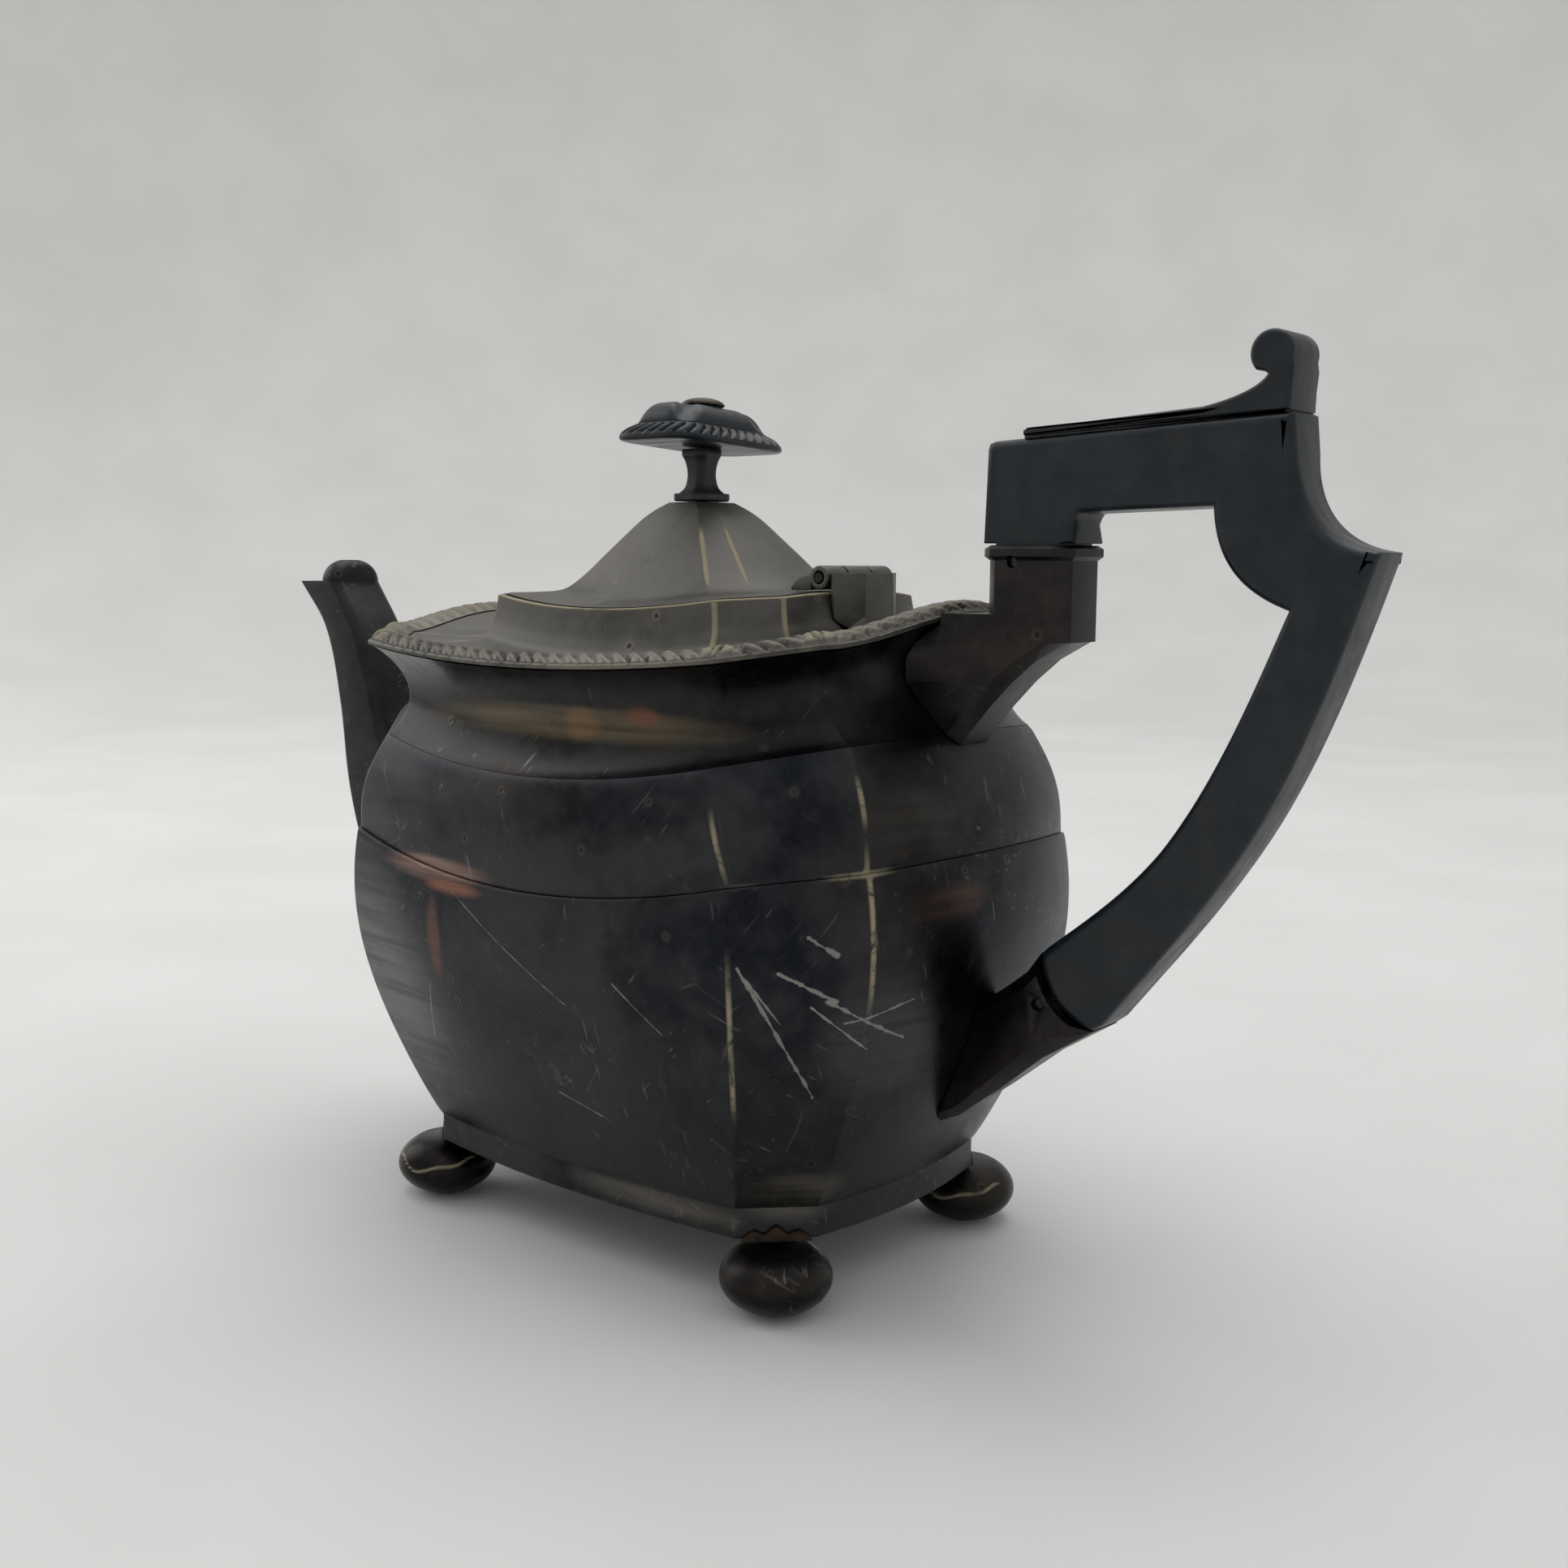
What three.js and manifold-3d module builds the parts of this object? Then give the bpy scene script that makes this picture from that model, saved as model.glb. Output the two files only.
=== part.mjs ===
// An oblong silver-plated teapot: panelled body with canted corners, ball feet, gadroon border,
// raised collar, hinged domed lid, flat-sided spout and ebonised wooden handle and finial.
// Millimetres, +Z up. +X is the handle end, -X the spout end, -Y and +Y the long sides.
// The sizes below are measured from the middle of the body; the group is then moved along X
// so that the whole teapot, from spout lip to handle spur, is centred on the origin.
import * as THREE from "three";
import Module from "manifold-3d";
import { mergeVertices } from "three/addons/utils/BufferGeometryUtils.js";

const wasm = await Module();
wasm.setup();

// ---- Driving dimensions ----

const CLEARANCE = 0.3; // between two pieces that touch

// Body: half sizes at the corner creases of the belly, and how far each other level is set in.
const BELLY_X = 67;
const BELLY_Y = 48.2;
const BELLY_CANT = 16.9;
const WALL = 1.1;
const BASE_INSET_X = 15.5;
const BASE_INSET_Y = 12.8;
const BASE_CANT = 10.8;
const SHOULDER_INSET_X = 6.8;
const SHOULDER_INSET_Y = 2.6;
const SHOULDER_CANT = 17.1;
const RIM_INSET_X = 7.5;
const RIM_INSET_Y = 0.7;
const RIM_CANT = 13.2;
const COLLAR_INSET_X = 28.9;
const COLLAR_INSET_Y = 19.8;
const COLLAR_CANT = 8.9;
const BELLY_SWELL = 4.2;
const UPPER_SWELL = 1.8;
const LONG_BULGE = 4; // how far the long sides swell outwards between their creases
const END_BULGE = 5;

// Heights of the body, stacked from the table up.
const FOOT_HEIGHT = 13;
const BAND_HEIGHT = 5.8; // upright band at the foot of the body
const BELLY_RISE = 61.1; // from the band to the belly crease
const SHOULDER_RISE = 19.3;
const RIM_RISE = 17.7;
const COLLAR_RISE = 10;
const BELLY_DIP = 6; // how far the crease lines dip along the long sides
const SHOULDER_DIP = 4.4;
const RIM_DIP = 2.4;
const COLLAR_DIP = 2.1;
const BELLY_CANT_RISE = 2.2; // how far they rise across the canted corners
const SHOULDER_CANT_RISE = 3.6;
const RIM_CANT_RISE = 2.4;
const COLLAR_CANT_RISE = 0.6;
const RIM_END_RISE = 5.2; // how far the border arches up in the middle of each end
const NECK_DEPTH = 5.4; // how deep the hollow neck curves in under the border

// Feet.
const FOOT_RADIUS = 10.3;
const FOOT_FLAT_RADIUS = 3; // worn flat that the teapot stands on
const FOOT_SEAT_RADIUS = 5.4;
const FOOT_SEAT_HEIGHT = 1;
const FOOT_SEAT_INSET = 4.4; // towards the middle of the body, so that the seat is under the base

// Gadroon border.
const BORDER_WIDTH = 7;
const BORDER_CROWN = 2.8;
const BORDER_LIP = 1.1;

// Spout.
const SPOUT_WALL = 1.2;
const SPOUT_CANT = 1.8;
const SPOUT_LIP_Z = 128.6;
const SPOUT_HOOD_TOP_Z = 133.8;
const SPOUT_MOUTH_LENGTH = 8.8; // from the lip back to the hood
const STRAINER_HOLE_RADIUS = 2.1;
const STRAINER_PITCH = 6.5;

// Handle, its scrolled thumb rest, its two sockets and their pins.
const WOOD_THICKNESS = 11;
const WOOD_EDGE = 1.6; // rounding of the long edges
const SOCKET_WALL = 1.1;
const SOCKET_BEAD = 0.7;
const SOCKET_CANT = 2.8;
const LEG_CHAMFER = 1.6;
const PIN_RADIUS = 0.8;
const PIN_RECESS = 0.9;

// Lid, its hinge and its finial.
const LID_WALL = 1.1;
const LID_LEDGE = 3; // width of the ledge in the collar that the lid rests on
const COLLAR_EDGE = 1.4; // thickness of the collar's top edge outside the lid
const BEZEL_DEPTH = 3;
const LID_TOP_Z = 145.6;
const HINGE_RADIUS = 2.2;
const HINGE_PIN_RADIUS = 0.9;
const HINGE_HALF_LENGTH = 10;
const LID_KNUCKLE_HALF_LENGTH = 3.4;
const HINGE_GAP = 0.4; // running clearance of the moving knuckle and leaf
const FINIAL_PLATE_HEIGHT = 1.5;
const FINIAL_STEM_HEIGHT = 8.7;
const FINIAL_KNOB_HALF_X = 10.3; // the knob lies across the teapot
const FINIAL_KNOB_HALF_Y = 16.5;
const FINIAL_KNOB_HEIGHT = 7.9;
const FINIAL_KNOB_LEAN = 3; // degrees, the far end is bent down a little
const FINIAL_BUTTON_RADIUS = 4.3;
const FINIAL_BUTTON_HEIGHT = 1.6;
const FINIAL_SCREW_RADIUS = 1.4;

// ---- Geometry helpers ----

const lerp = (a, b, f) => a + (b - a) * f;

function solid(geometry) {
  const bare = geometry.index ? geometry.toNonIndexed() : geometry.clone();
  bare.deleteAttribute("normal");
  bare.deleteAttribute("uv");
  const merged = mergeVertices(bare, 1e-4);
  return new wasm.Manifold(
    new wasm.Mesh({
      numProp: 3,
      vertProperties: new Float32Array(merged.attributes.position.array),
      triVerts: new Uint32Array(merged.index.array),
    }),
  );
}

function geometryOf(manifold) {
  const mesh = manifold.getMesh();
  const geometry = new THREE.BufferGeometry();
  geometry.setAttribute("position", new THREE.BufferAttribute(mesh.vertProperties, 3));
  geometry.setIndex(new THREE.BufferAttribute(mesh.triVerts, 1));
  return geometry;
}

// A closed body through rings of points that all run counter-clockwise seen from the far end.
// Without wrap its two ends are closed by fans; with wrap the last ring joins the first.
function loft(rings, wrap = false) {
  const count = rings[0].length;
  const points = rings.flat();
  const index = [];
  const steps = wrap ? rings.length : rings.length - 1;
  for (let i = 0; i < steps; i += 1) {
    const low = i * count;
    const high = ((i + 1) % rings.length) * count;
    for (let j = 0; j < count; j += 1) {
      const k = (j + 1) % count;
      index.push(low + j, low + k, high + k, low + j, high + k, high + j);
    }
  }
  if (!wrap) {
    for (const end of [0, rings.length - 1]) {
      const middle = new THREE.Vector3();
      rings[end].forEach((point) => middle.addScaledVector(point, 1 / count));
      points.push(middle);
      const centre = points.length - 1;
      const first = end * count;
      for (let j = 0; j < count; j += 1) {
        const k = (j + 1) % count;
        if (end === 0) index.push(centre, first + k, first + j);
        else index.push(centre, first + j, first + k);
      }
    }
  }
  const geometry = new THREE.BufferGeometry();
  const positions = new Float32Array(points.flatMap((point) => point.toArray()));
  geometry.setAttribute("position", new THREE.BufferAttribute(positions, 3));
  geometry.setIndex(index);
  return geometry;
}

function lathe(profile, segments = 20) {
  const geometry = new THREE.LatheGeometry(profile.map(([r, z]) => new THREE.Vector2(r, z)), segments);
  return geometry.rotateX(Math.PI / 2);
}

// A cylinder along Y, X or Z, centred on a point.
function rod(radius, length, axis, centre, segments = 16) {
  const geometry = new THREE.CylinderGeometry(radius, radius, length, segments);
  if (axis === "x") geometry.rotateZ(Math.PI / 2);
  if (axis === "z") geometry.rotateX(Math.PI / 2);
  return geometry.translate(...centre);
}

function block(x0, x1, y0, y1, z0, z1) {
  const geometry = new THREE.BoxGeometry(x1 - x0, y1 - y0, z1 - z0);
  return geometry.translate((x0 + x1) / 2, (y0 + y1) / 2, (z0 + z1) / 2);
}

// A smooth curve through [parameter, value] pairs.
function curveThrough(pairs) {
  const curve = new THREE.CatmullRomCurve3(pairs.map(([p, v]) => new THREE.Vector3(p, v, 0)), false, "centripetal");
  const samples = curve.getPoints(pairs.length * 12);
  return (p) => {
    const last = samples.length - 1;
    if (p <= samples[0].x) return samples[0].y;
    for (let i = 0; i < last; i += 1) {
      const [a, b] = [samples[i], samples[i + 1]];
      if (p <= b.x) return lerp(a.y, b.y, (p - a.x) / Math.max(b.x - a.x, 1e-6));
    }
    return samples[last].y;
  };
}

// ---- Oblong sections with canted corners ----

// x and y are the half sizes at the corner creases. The crease line z dips along the long sides,
// rises across the cants and arches over the ends; the sides swell by longBulge and endBulge.
// The spout end can rise less than the handle end.
const LONG_STEPS = 8;
const CANT_STEPS = 2;
const END_STEPS = 6;

function section(values) {
  return {
    longBulge: 0,
    endBulge: 0,
    dip: 0,
    cantRise: 0,
    endRise: 0,
    spoutCantRise: values.cantRise ?? 0,
    spoutEndRise: values.endRise ?? 0,
    endPower: 1,
    ...values,
  };
}

const blendSections = (a, b, f) =>
  Object.fromEntries(Object.keys(a).map((key) => [key, lerp(a[key], b[key], f)]));

// The section set in by a distance all round, and lifted.
function offset(s, inset, lift = 0) {
  return {
    ...s,
    x: s.x - inset,
    y: s.y - inset,
    cant: s.cant - inset * (2 - Math.SQRT2),
    z: s.z + lift,
  };
}

function ring(s) {
  const points = [];
  const half = (sign) => {
    const cantRise = sign > 0 ? s.cantRise : s.spoutCantRise;
    const endRise = sign > 0 ? s.endRise : s.spoutEndRise;
    for (let i = 0; i < LONG_STEPS; i += 1) {
      const t = -1 + (2 * i) / LONG_STEPS;
      const swell = 1 - t * t;
      points.push([sign * t * (s.x - s.cant), -sign * (s.y + s.longBulge * swell), s.z - s.dip * swell]);
    }
    for (let i = 0; i < CANT_STEPS; i += 1) {
      const f = i / CANT_STEPS;
      points.push([sign * (s.x - s.cant * (1 - f)), -sign * (s.y - s.cant * f), s.z + cantRise * f]);
    }
    for (let i = 0; i < END_STEPS; i += 1) {
      const t = -1 + (2 * i) / END_STEPS;
      const swell = 1 - t * t;
      const arch = endRise * swell ** s.endPower;
      points.push([sign * (s.x + s.endBulge * swell), sign * t * (s.y - s.cant), s.z + cantRise + arch]);
    }
    for (let i = 0; i < CANT_STEPS; i += 1) {
      const f = i / CANT_STEPS;
      points.push([sign * (s.x - s.cant * f), sign * (s.y - s.cant * (1 - f)), s.z + cantRise * (1 - f)]);
    }
  };
  half(1);
  half(-1);
  return points.map((point) => new THREE.Vector3(...point));
}

// A sheet shell: outer surface up, inner surface down, joined at both edges.
function shell(outer, inner) {
  return loft([...outer, ...inner.toReversed()].map(ring), true);
}

// ---- Levels of the body ----

const bandBottomZ = FOOT_HEIGHT + CLEARANCE;
const bandTopZ = bandBottomZ + BAND_HEIGHT;
const bellyZ = bandTopZ + BELLY_RISE;
const shoulderZ = bellyZ + SHOULDER_RISE;
const rimZ = shoulderZ + RIM_RISE;
const collarZ = rimZ + COLLAR_RISE;

const baseLevel = section({
  x: BELLY_X - BASE_INSET_X,
  y: BELLY_Y - BASE_INSET_Y,
  cant: BASE_CANT,
  z: bandBottomZ,
  longBulge: LONG_BULGE * 0.75,
  endBulge: END_BULGE * 0.6,
});
const bandLevel = { ...baseLevel, z: bandTopZ };
const bellyCrease = section({
  x: BELLY_X,
  y: BELLY_Y,
  cant: BELLY_CANT,
  z: bellyZ,
  longBulge: LONG_BULGE,
  endBulge: END_BULGE,
  dip: BELLY_DIP,
  cantRise: BELLY_CANT_RISE,
  endRise: 1,
});
const shoulder = section({
  x: BELLY_X - SHOULDER_INSET_X,
  y: BELLY_Y - SHOULDER_INSET_Y,
  cant: SHOULDER_CANT,
  z: shoulderZ,
  longBulge: LONG_BULGE,
  endBulge: END_BULGE,
  dip: SHOULDER_DIP,
  cantRise: SHOULDER_CANT_RISE,
  endRise: 1,
});
const rim = section({
  x: BELLY_X - RIM_INSET_X,
  y: BELLY_Y - RIM_INSET_Y,
  cant: RIM_CANT,
  z: rimZ,
  longBulge: LONG_BULGE,
  endBulge: END_BULGE + 2,
  dip: RIM_DIP,
  cantRise: RIM_CANT_RISE,
  endRise: RIM_END_RISE,
  spoutCantRise: RIM_CANT_RISE * 0.35,
  spoutEndRise: RIM_END_RISE * 0.75,
  endPower: 2,
});
const collarTop = section({
  x: BELLY_X - COLLAR_INSET_X,
  y: BELLY_Y - COLLAR_INSET_Y,
  cant: COLLAR_CANT,
  z: collarZ,
  longBulge: 3.2,
  endBulge: 2.8,
  dip: COLLAR_DIP,
  cantRise: COLLAR_CANT_RISE,
  endRise: 1,
  spoutCantRise: 0,
  spoutEndRise: 0,
});

// ---- Lower and upper body ----

// The belly is fullest a little below its crease: a quarter wave plus a swell.
function bellyLevel(f) {
  const out = blendSections(bandLevel, bellyCrease, Math.sin((f * Math.PI) / 2) ** 0.86);
  const up = blendSections(bandLevel, bellyCrease, f);
  const swell = BELLY_SWELL * Math.sin(Math.PI * f) * f;
  return {
    ...out,
    x: out.x + swell,
    y: out.y + swell * 0.6,
    cant: up.cant + swell * 0.85,
    z: up.z,
    dip: up.dip * f,
    cantRise: up.cantRise * f,
    endRise: up.endRise * f,
    spoutCantRise: up.spoutCantRise * f,
    spoutEndRise: up.spoutEndRise * f,
  };
}
const BELLY_STEPS = [0, 0.1, 0.22, 0.36, 0.52, 0.7, 0.86, 1];
const lowerTop = offset(bellyCrease, 0, -CLEARANCE);
const bellyLevels = BELLY_STEPS.map((f) => (f === 1 ? lowerTop : bellyLevel(f)));
const lowerOuter = [baseLevel, ...bellyLevels];
const lowerShell = shell(lowerOuter, lowerOuter.map((level) => offset(level, WALL)));

const UPPER_STEPS = [0, 0.35, 0.7, 1];
const upperBottom = offset(bellyCrease, 0.6, 0);
const upperOuter = UPPER_STEPS.map((f) => {
  const level = blendSections(upperBottom, shoulder, f);
  return offset(level, -UPPER_SWELL * Math.sin(Math.PI * f));
});
upperOuter[UPPER_STEPS.length - 1] = offset(shoulder, 0, -CLEARANCE);
const upperShell = shell(upperOuter, upperOuter.map((level) => offset(level, WALL)));

// ---- Neck, border and top cover ----

const NECK_STEPS = [0, 0.12, 0.3, 0.5, 0.7, 0.86, 1];
const neckTop = offset(rim, 0.8, -CLEARANCE);
const neckOuter = NECK_STEPS.map((f) => {
  const level = blendSections(shoulder, neckTop, f);
  return offset(level, NECK_DEPTH * Math.sin(Math.PI * f) ** 0.8);
});
const neckShell = shell(neckOuter, neckOuter.map((level) => offset(level, WALL)));

// Border section: [inset from the rim, lift above it].
const borderOutline = [
  [0, 0],
  [0, BORDER_LIP],
  [0.8, BORDER_LIP + 0.2],
  [1.5, BORDER_CROWN - 0.8],
  [BORDER_WIDTH * 0.45, BORDER_CROWN],
  [BORDER_WIDTH * 0.75, BORDER_CROWN - 0.5],
  [BORDER_WIDTH, 1.9],
  [BORDER_WIDTH, 1.2],
  [4, 0],
];
const border = loft(borderOutline.map(([inset, lift]) => ring(offset(rim, inset, lift))), true);

const collarFoot = section({
  x: collarTop.x + 3,
  y: collarTop.y + 2.6,
  cant: collarTop.cant + 1,
  z: rimZ + 1.2,
  longBulge: 3.4,
  endBulge: 3,
  dip: RIM_DIP,
  cantRise: 0.8,
  endRise: 1.6,
  spoutCantRise: 0.3,
});
const deckEdge = offset(rim, BORDER_WIDTH + 0.6, 0.9);
const coverOuter = [
  offset(rim, 4.6, -CLEARANCE),
  deckEdge,
  offset(blendSections(deckEdge, collarFoot, 0.5), 0, -0.5),
  collarFoot,
  offset(blendSections(collarFoot, collarTop, 0.3), 0.9, 0),
  offset(blendSections(collarFoot, collarTop, 0.65), 0.7, 0),
  collarTop,
];
const ledgeLift = -1;
const coverInner = [
  offset(rim, 4.6, -CLEARANCE - 0.9),
  offset(deckEdge, 0.3, -0.9),
  offset(blendSections(deckEdge, collarFoot, 0.5), 0.3, -1.5),
  offset(collarFoot, 0.8, -1),
  offset(blendSections(collarFoot, collarTop, 0.3), 2, 0),
  offset(blendSections(collarFoot, collarTop, 0.65), 2, 0),
  offset(collarTop, COLLAR_EDGE + 0.5, ledgeLift - 1),
  offset(collarTop, COLLAR_EDGE + LID_LEDGE, ledgeLift - 1),
  offset(collarTop, COLLAR_EDGE + LID_LEDGE, ledgeLift),
  offset(collarTop, COLLAR_EDGE, ledgeLift),
  offset(collarTop, COLLAR_EDGE, 0),
];
const coverShell = shell(coverOuter, coverInner);

// The whole outside of the body with the clearance round it, to fit the spout and sockets to.
const bodyEnvelope = solid(
  loft(
    [
      ...lowerOuter.slice(0, -1),
      bellyCrease,
      ...upperOuter.slice(1, -1),
      shoulder,
      ...neckOuter.slice(1, -1),
      offset(rim, 0, -CLEARANCE),
      offset(rim, 0, BORDER_LIP),
      offset(rim, 1.5, BORDER_CROWN),
      offset(rim, BORDER_WIDTH, BORDER_CROWN),
    ].map((level) => ring(offset(level, -CLEARANCE))),
  ),
);

const endReach = (level) => level.x + level.endBulge;

// ---- Base plate and feet ----

const basePlate = loft([
  ring(offset(baseLevel, WALL + CLEARANCE)),
  ring(offset(baseLevel, WALL + CLEARANCE, WALL)),
]);

const footX = baseLevel.x - baseLevel.cant / 2;
const footY = baseLevel.y - baseLevel.cant / 2;
const seatBottomZ = FOOT_HEIGHT - FOOT_SEAT_HEIGHT;
const ballTopZ = seatBottomZ - CLEARANCE;

function footBall() {
  const half = FOOT_HEIGHT / 2;
  const start = Math.asin(-Math.sqrt(1 - (FOOT_FLAT_RADIUS / FOOT_RADIUS) ** 2));
  const end = Math.asin((ballTopZ - half) / half);
  const profile = [[0, 0]];
  const steps = 9;
  for (let i = 0; i <= steps; i += 1) {
    const angle = lerp(start, end, i / steps);
    const height = i === 0 ? 0 : half + half * Math.sin(angle);
    profile.push([FOOT_RADIUS * Math.cos(angle), height]);
  }
  profile.push([0, ballTopZ]);
  return lathe(profile, 18);
}
const footSeat = () =>
  lathe([
    [0, seatBottomZ],
    [FOOT_SEAT_RADIUS - 0.6, seatBottomZ],
    [FOOT_SEAT_RADIUS, FOOT_HEIGHT],
    [0, FOOT_HEIGHT],
  ]);

// ---- Spout ----

// Front and back of the spout as curves of X against Z, and its half width.
const spoutRoot = endReach(bellyCrease);
const spoutFront = curveThrough([
  [32, 8 - spoutRoot],
  [42, -7 - spoutRoot],
  [52, -17.5 - spoutRoot],
  [64, -27.5 - spoutRoot],
  [80, -35.7 - spoutRoot],
  [100, -41.2 - spoutRoot],
  [118, -47.5 - spoutRoot],
  [SPOUT_LIP_Z, -57.4 - spoutRoot],
]);
const spoutBack = curveThrough([
  [32, 14 - spoutRoot],
  [56, 10 - spoutRoot],
  [66, -2.5 - spoutRoot],
  [76, -12.2 - spoutRoot],
  [92, -22 - spoutRoot],
  [116, -32.2 - spoutRoot],
  [SPOUT_LIP_Z, -41.2 - spoutRoot],
]);
const spoutHalfWidth = curveThrough([
  [32, 13.5],
  [60, 12],
  [84, 9.5],
  [104, 7.8],
  [SPOUT_LIP_Z, 7],
]);
const spoutLipX = spoutFront(SPOUT_LIP_Z);
const hoodBackX = spoutBack(SPOUT_LIP_Z);

// A level rectangle in X and Y with its corners canted.
function boxRing(x0, x1, y, z, cant) {
  return [
    [x0 + cant, -y],
    [x1 - cant, -y],
    [x1, -y + cant],
    [x1, y - cant],
    [x1 - cant, y],
    [x0 + cant, y],
    [x0, y - cant],
    [x0, -y + cant],
  ].map(([px, py]) => new THREE.Vector3(px, py, z));
}
function spoutRing(z, inset) {
  const x0 = spoutFront(z) + inset;
  const x1 = Math.max(spoutBack(z) - inset, x0 + 1);
  const y = spoutHalfWidth(z) - inset;
  return boxRing(x0, x1, y, z, Math.min(SPOUT_CANT, (x1 - x0) * 0.3));
}
const SPOUT_STATIONS = 12;
function spoutTube(inset, z0, z1) {
  const rings = [];
  for (let i = 0; i <= SPOUT_STATIONS; i += 1) {
    rings.push(spoutRing(lerp(z0, z1, i / SPOUT_STATIONS), inset));
  }
  return solid(loft(rings));
}

// The hood over the mouth, level by level: [height, inset in X, half width] as parts of the whole.
const hoodLevels = [
  [0, 0, 1],
  [0.3, 0.03, 0.97],
  [0.6, 0.12, 0.84],
  [0.85, 0.26, 0.58],
  [1, 0.42, 0.22],
];
const hoodFootZ = SPOUT_LIP_Z + CLEARANCE;
function hood(inset) {
  const front = spoutLipX + SPOUT_MOUTH_LENGTH;
  const length = hoodBackX - front;
  const height = SPOUT_HOOD_TOP_Z - hoodFootZ - inset;
  const levels = inset > 0 ? [[-0.2, 0, 1], ...hoodLevels] : hoodLevels;
  const rings = levels.map(([lift, inwards, wide]) => {
    const x0 = front + length * inwards - (inset > 0 ? 1 : 0);
    const x1 = hoodBackX - length * inwards - inset;
    const y = Math.max(spoutHalfWidth(SPOUT_LIP_Z) * wide - inset, 0.5);
    return boxRing(x0, x1, y, hoodFootZ + height * lift, Math.min(SPOUT_CANT, y * 0.5));
  });
  return solid(loft(rings));
}
const spoutInside = spoutTube(SPOUT_WALL, 36, SPOUT_LIP_Z + 0.6);
const spout = spoutTube(0, 33, SPOUT_LIP_Z).subtract(spoutInside).subtract(bodyEnvelope);
const spoutHood = hood(0).subtract(hood(SPOUT_WALL));

// Strainer: three rows of holes through the body wall into the spout's root.
function pierced(wall) {
  let result = wall;
  const rows = [
    [0, 3],
    [1, 4],
    [2, 3],
  ];
  for (const [row, count] of rows) {
    for (let i = 0; i < count; i += 1) {
      const y = (i - (count - 1) / 2) * STRAINER_PITCH * 0.92;
      const z = 46 + row * STRAINER_PITCH;
      result = result.subtract(solid(rod(STRAINER_HOLE_RADIUS, 30, "x", [-BELLY_X, y, z], 8)));
    }
  }
  return result;
}

// ---- Handle sockets ----

// Upper socket: an upright canted box that takes the handle's leg, on a swept bracket.
const socketX = endReach(shoulder) + 14.6;
const legHalfX = 8.8;
const legHalfY = WOOD_THICKNESS / 2;
const legTenonHalfX = 6.8;
const socketHalfX = legTenonHalfX + CLEARANCE + SOCKET_WALL;
const socketHalfY = legHalfY + CLEARANCE + SOCKET_WALL;
const socketTopZ = 137.1;
const socketFloorZ = 124;
const socketBottomZ = 120.8;

const cantedBox = (halfX, halfY, cant, centreX, z) =>
  boxRing(centreX - halfX, centreX + halfX, halfY, z, cant);
const socketBox = solid(
  loft([
    cantedBox(socketHalfX, socketHalfY, SOCKET_CANT, socketX, socketBottomZ),
    cantedBox(socketHalfX, socketHalfY, SOCKET_CANT, socketX, socketTopZ - 2.6),
    cantedBox(socketHalfX + SOCKET_BEAD, socketHalfY + SOCKET_BEAD, SOCKET_CANT, socketX, socketTopZ - 1.9),
    cantedBox(socketHalfX + SOCKET_BEAD, socketHalfY + SOCKET_BEAD, SOCKET_CANT, socketX, socketTopZ - 0.6),
    cantedBox(socketHalfX, socketHalfY, SOCKET_CANT, socketX, socketTopZ),
  ]),
);

// The bracket's plan at a height: its reach in X and its spread where it meets the neck.
const bracketReach = curveThrough([
  [96, socketX - 17.5],
  [104, socketX - 12],
  [113.5, socketX - 3.3],
  [117.5, socketX + 1.5],
  [socketBottomZ + 0.4, socketX + socketHalfX],
]);
const bracketSpread = curveThrough([
  [96, 6.5],
  [104, 7.5],
  [110, 10.5],
  [117, 14],
  [127, 13],
]);
function bracketRing(z) {
  const reach = z > socketBottomZ ? socketX + socketHalfX : bracketReach(z);
  const root = endReach(shoulder) - 8.5;
  const spread = bracketSpread(z);
  const middle = lerp(root, reach - SOCKET_CANT, 0.62);
  const waist = lerp(socketHalfY, spread, 0.2);
  return [
    [root, -spread],
    [middle, -waist],
    [reach - SOCKET_CANT, -socketHalfY],
    [reach, -socketHalfY + SOCKET_CANT],
    [reach, socketHalfY - SOCKET_CANT],
    [reach - SOCKET_CANT, socketHalfY],
    [middle, waist],
    [root, spread],
  ].map(([x, y]) => new THREE.Vector3(x, y, z));
}
const bracket = solid(loft([96, 100, 104, 109, 113.5, 117.5, socketBottomZ, 125.4].map(bracketRing)));
const upperPinX = socketX - 2;
const upperPinZ = socketTopZ - 2.8;
const upperCavity = solid(
  loft([
    cantedBox(legTenonHalfX + CLEARANCE, legHalfY + CLEARANCE, LEG_CHAMFER + 0.3, socketX, socketFloorZ),
    cantedBox(legTenonHalfX + CLEARANCE, legHalfY + CLEARANCE, LEG_CHAMFER + 0.3, socketX, socketTopZ + 5),
  ]),
);
const pinHole = (x, z) => solid(rod(PIN_RADIUS + CLEARANCE, 40, "y", [x, 0, z], 12));
const upperSocket = bracket
  .add(socketBox)
  .subtract(upperCavity)
  .subtract(pinHole(upperPinX, upperPinZ))
  .subtract(bodyEnvelope);

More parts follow.
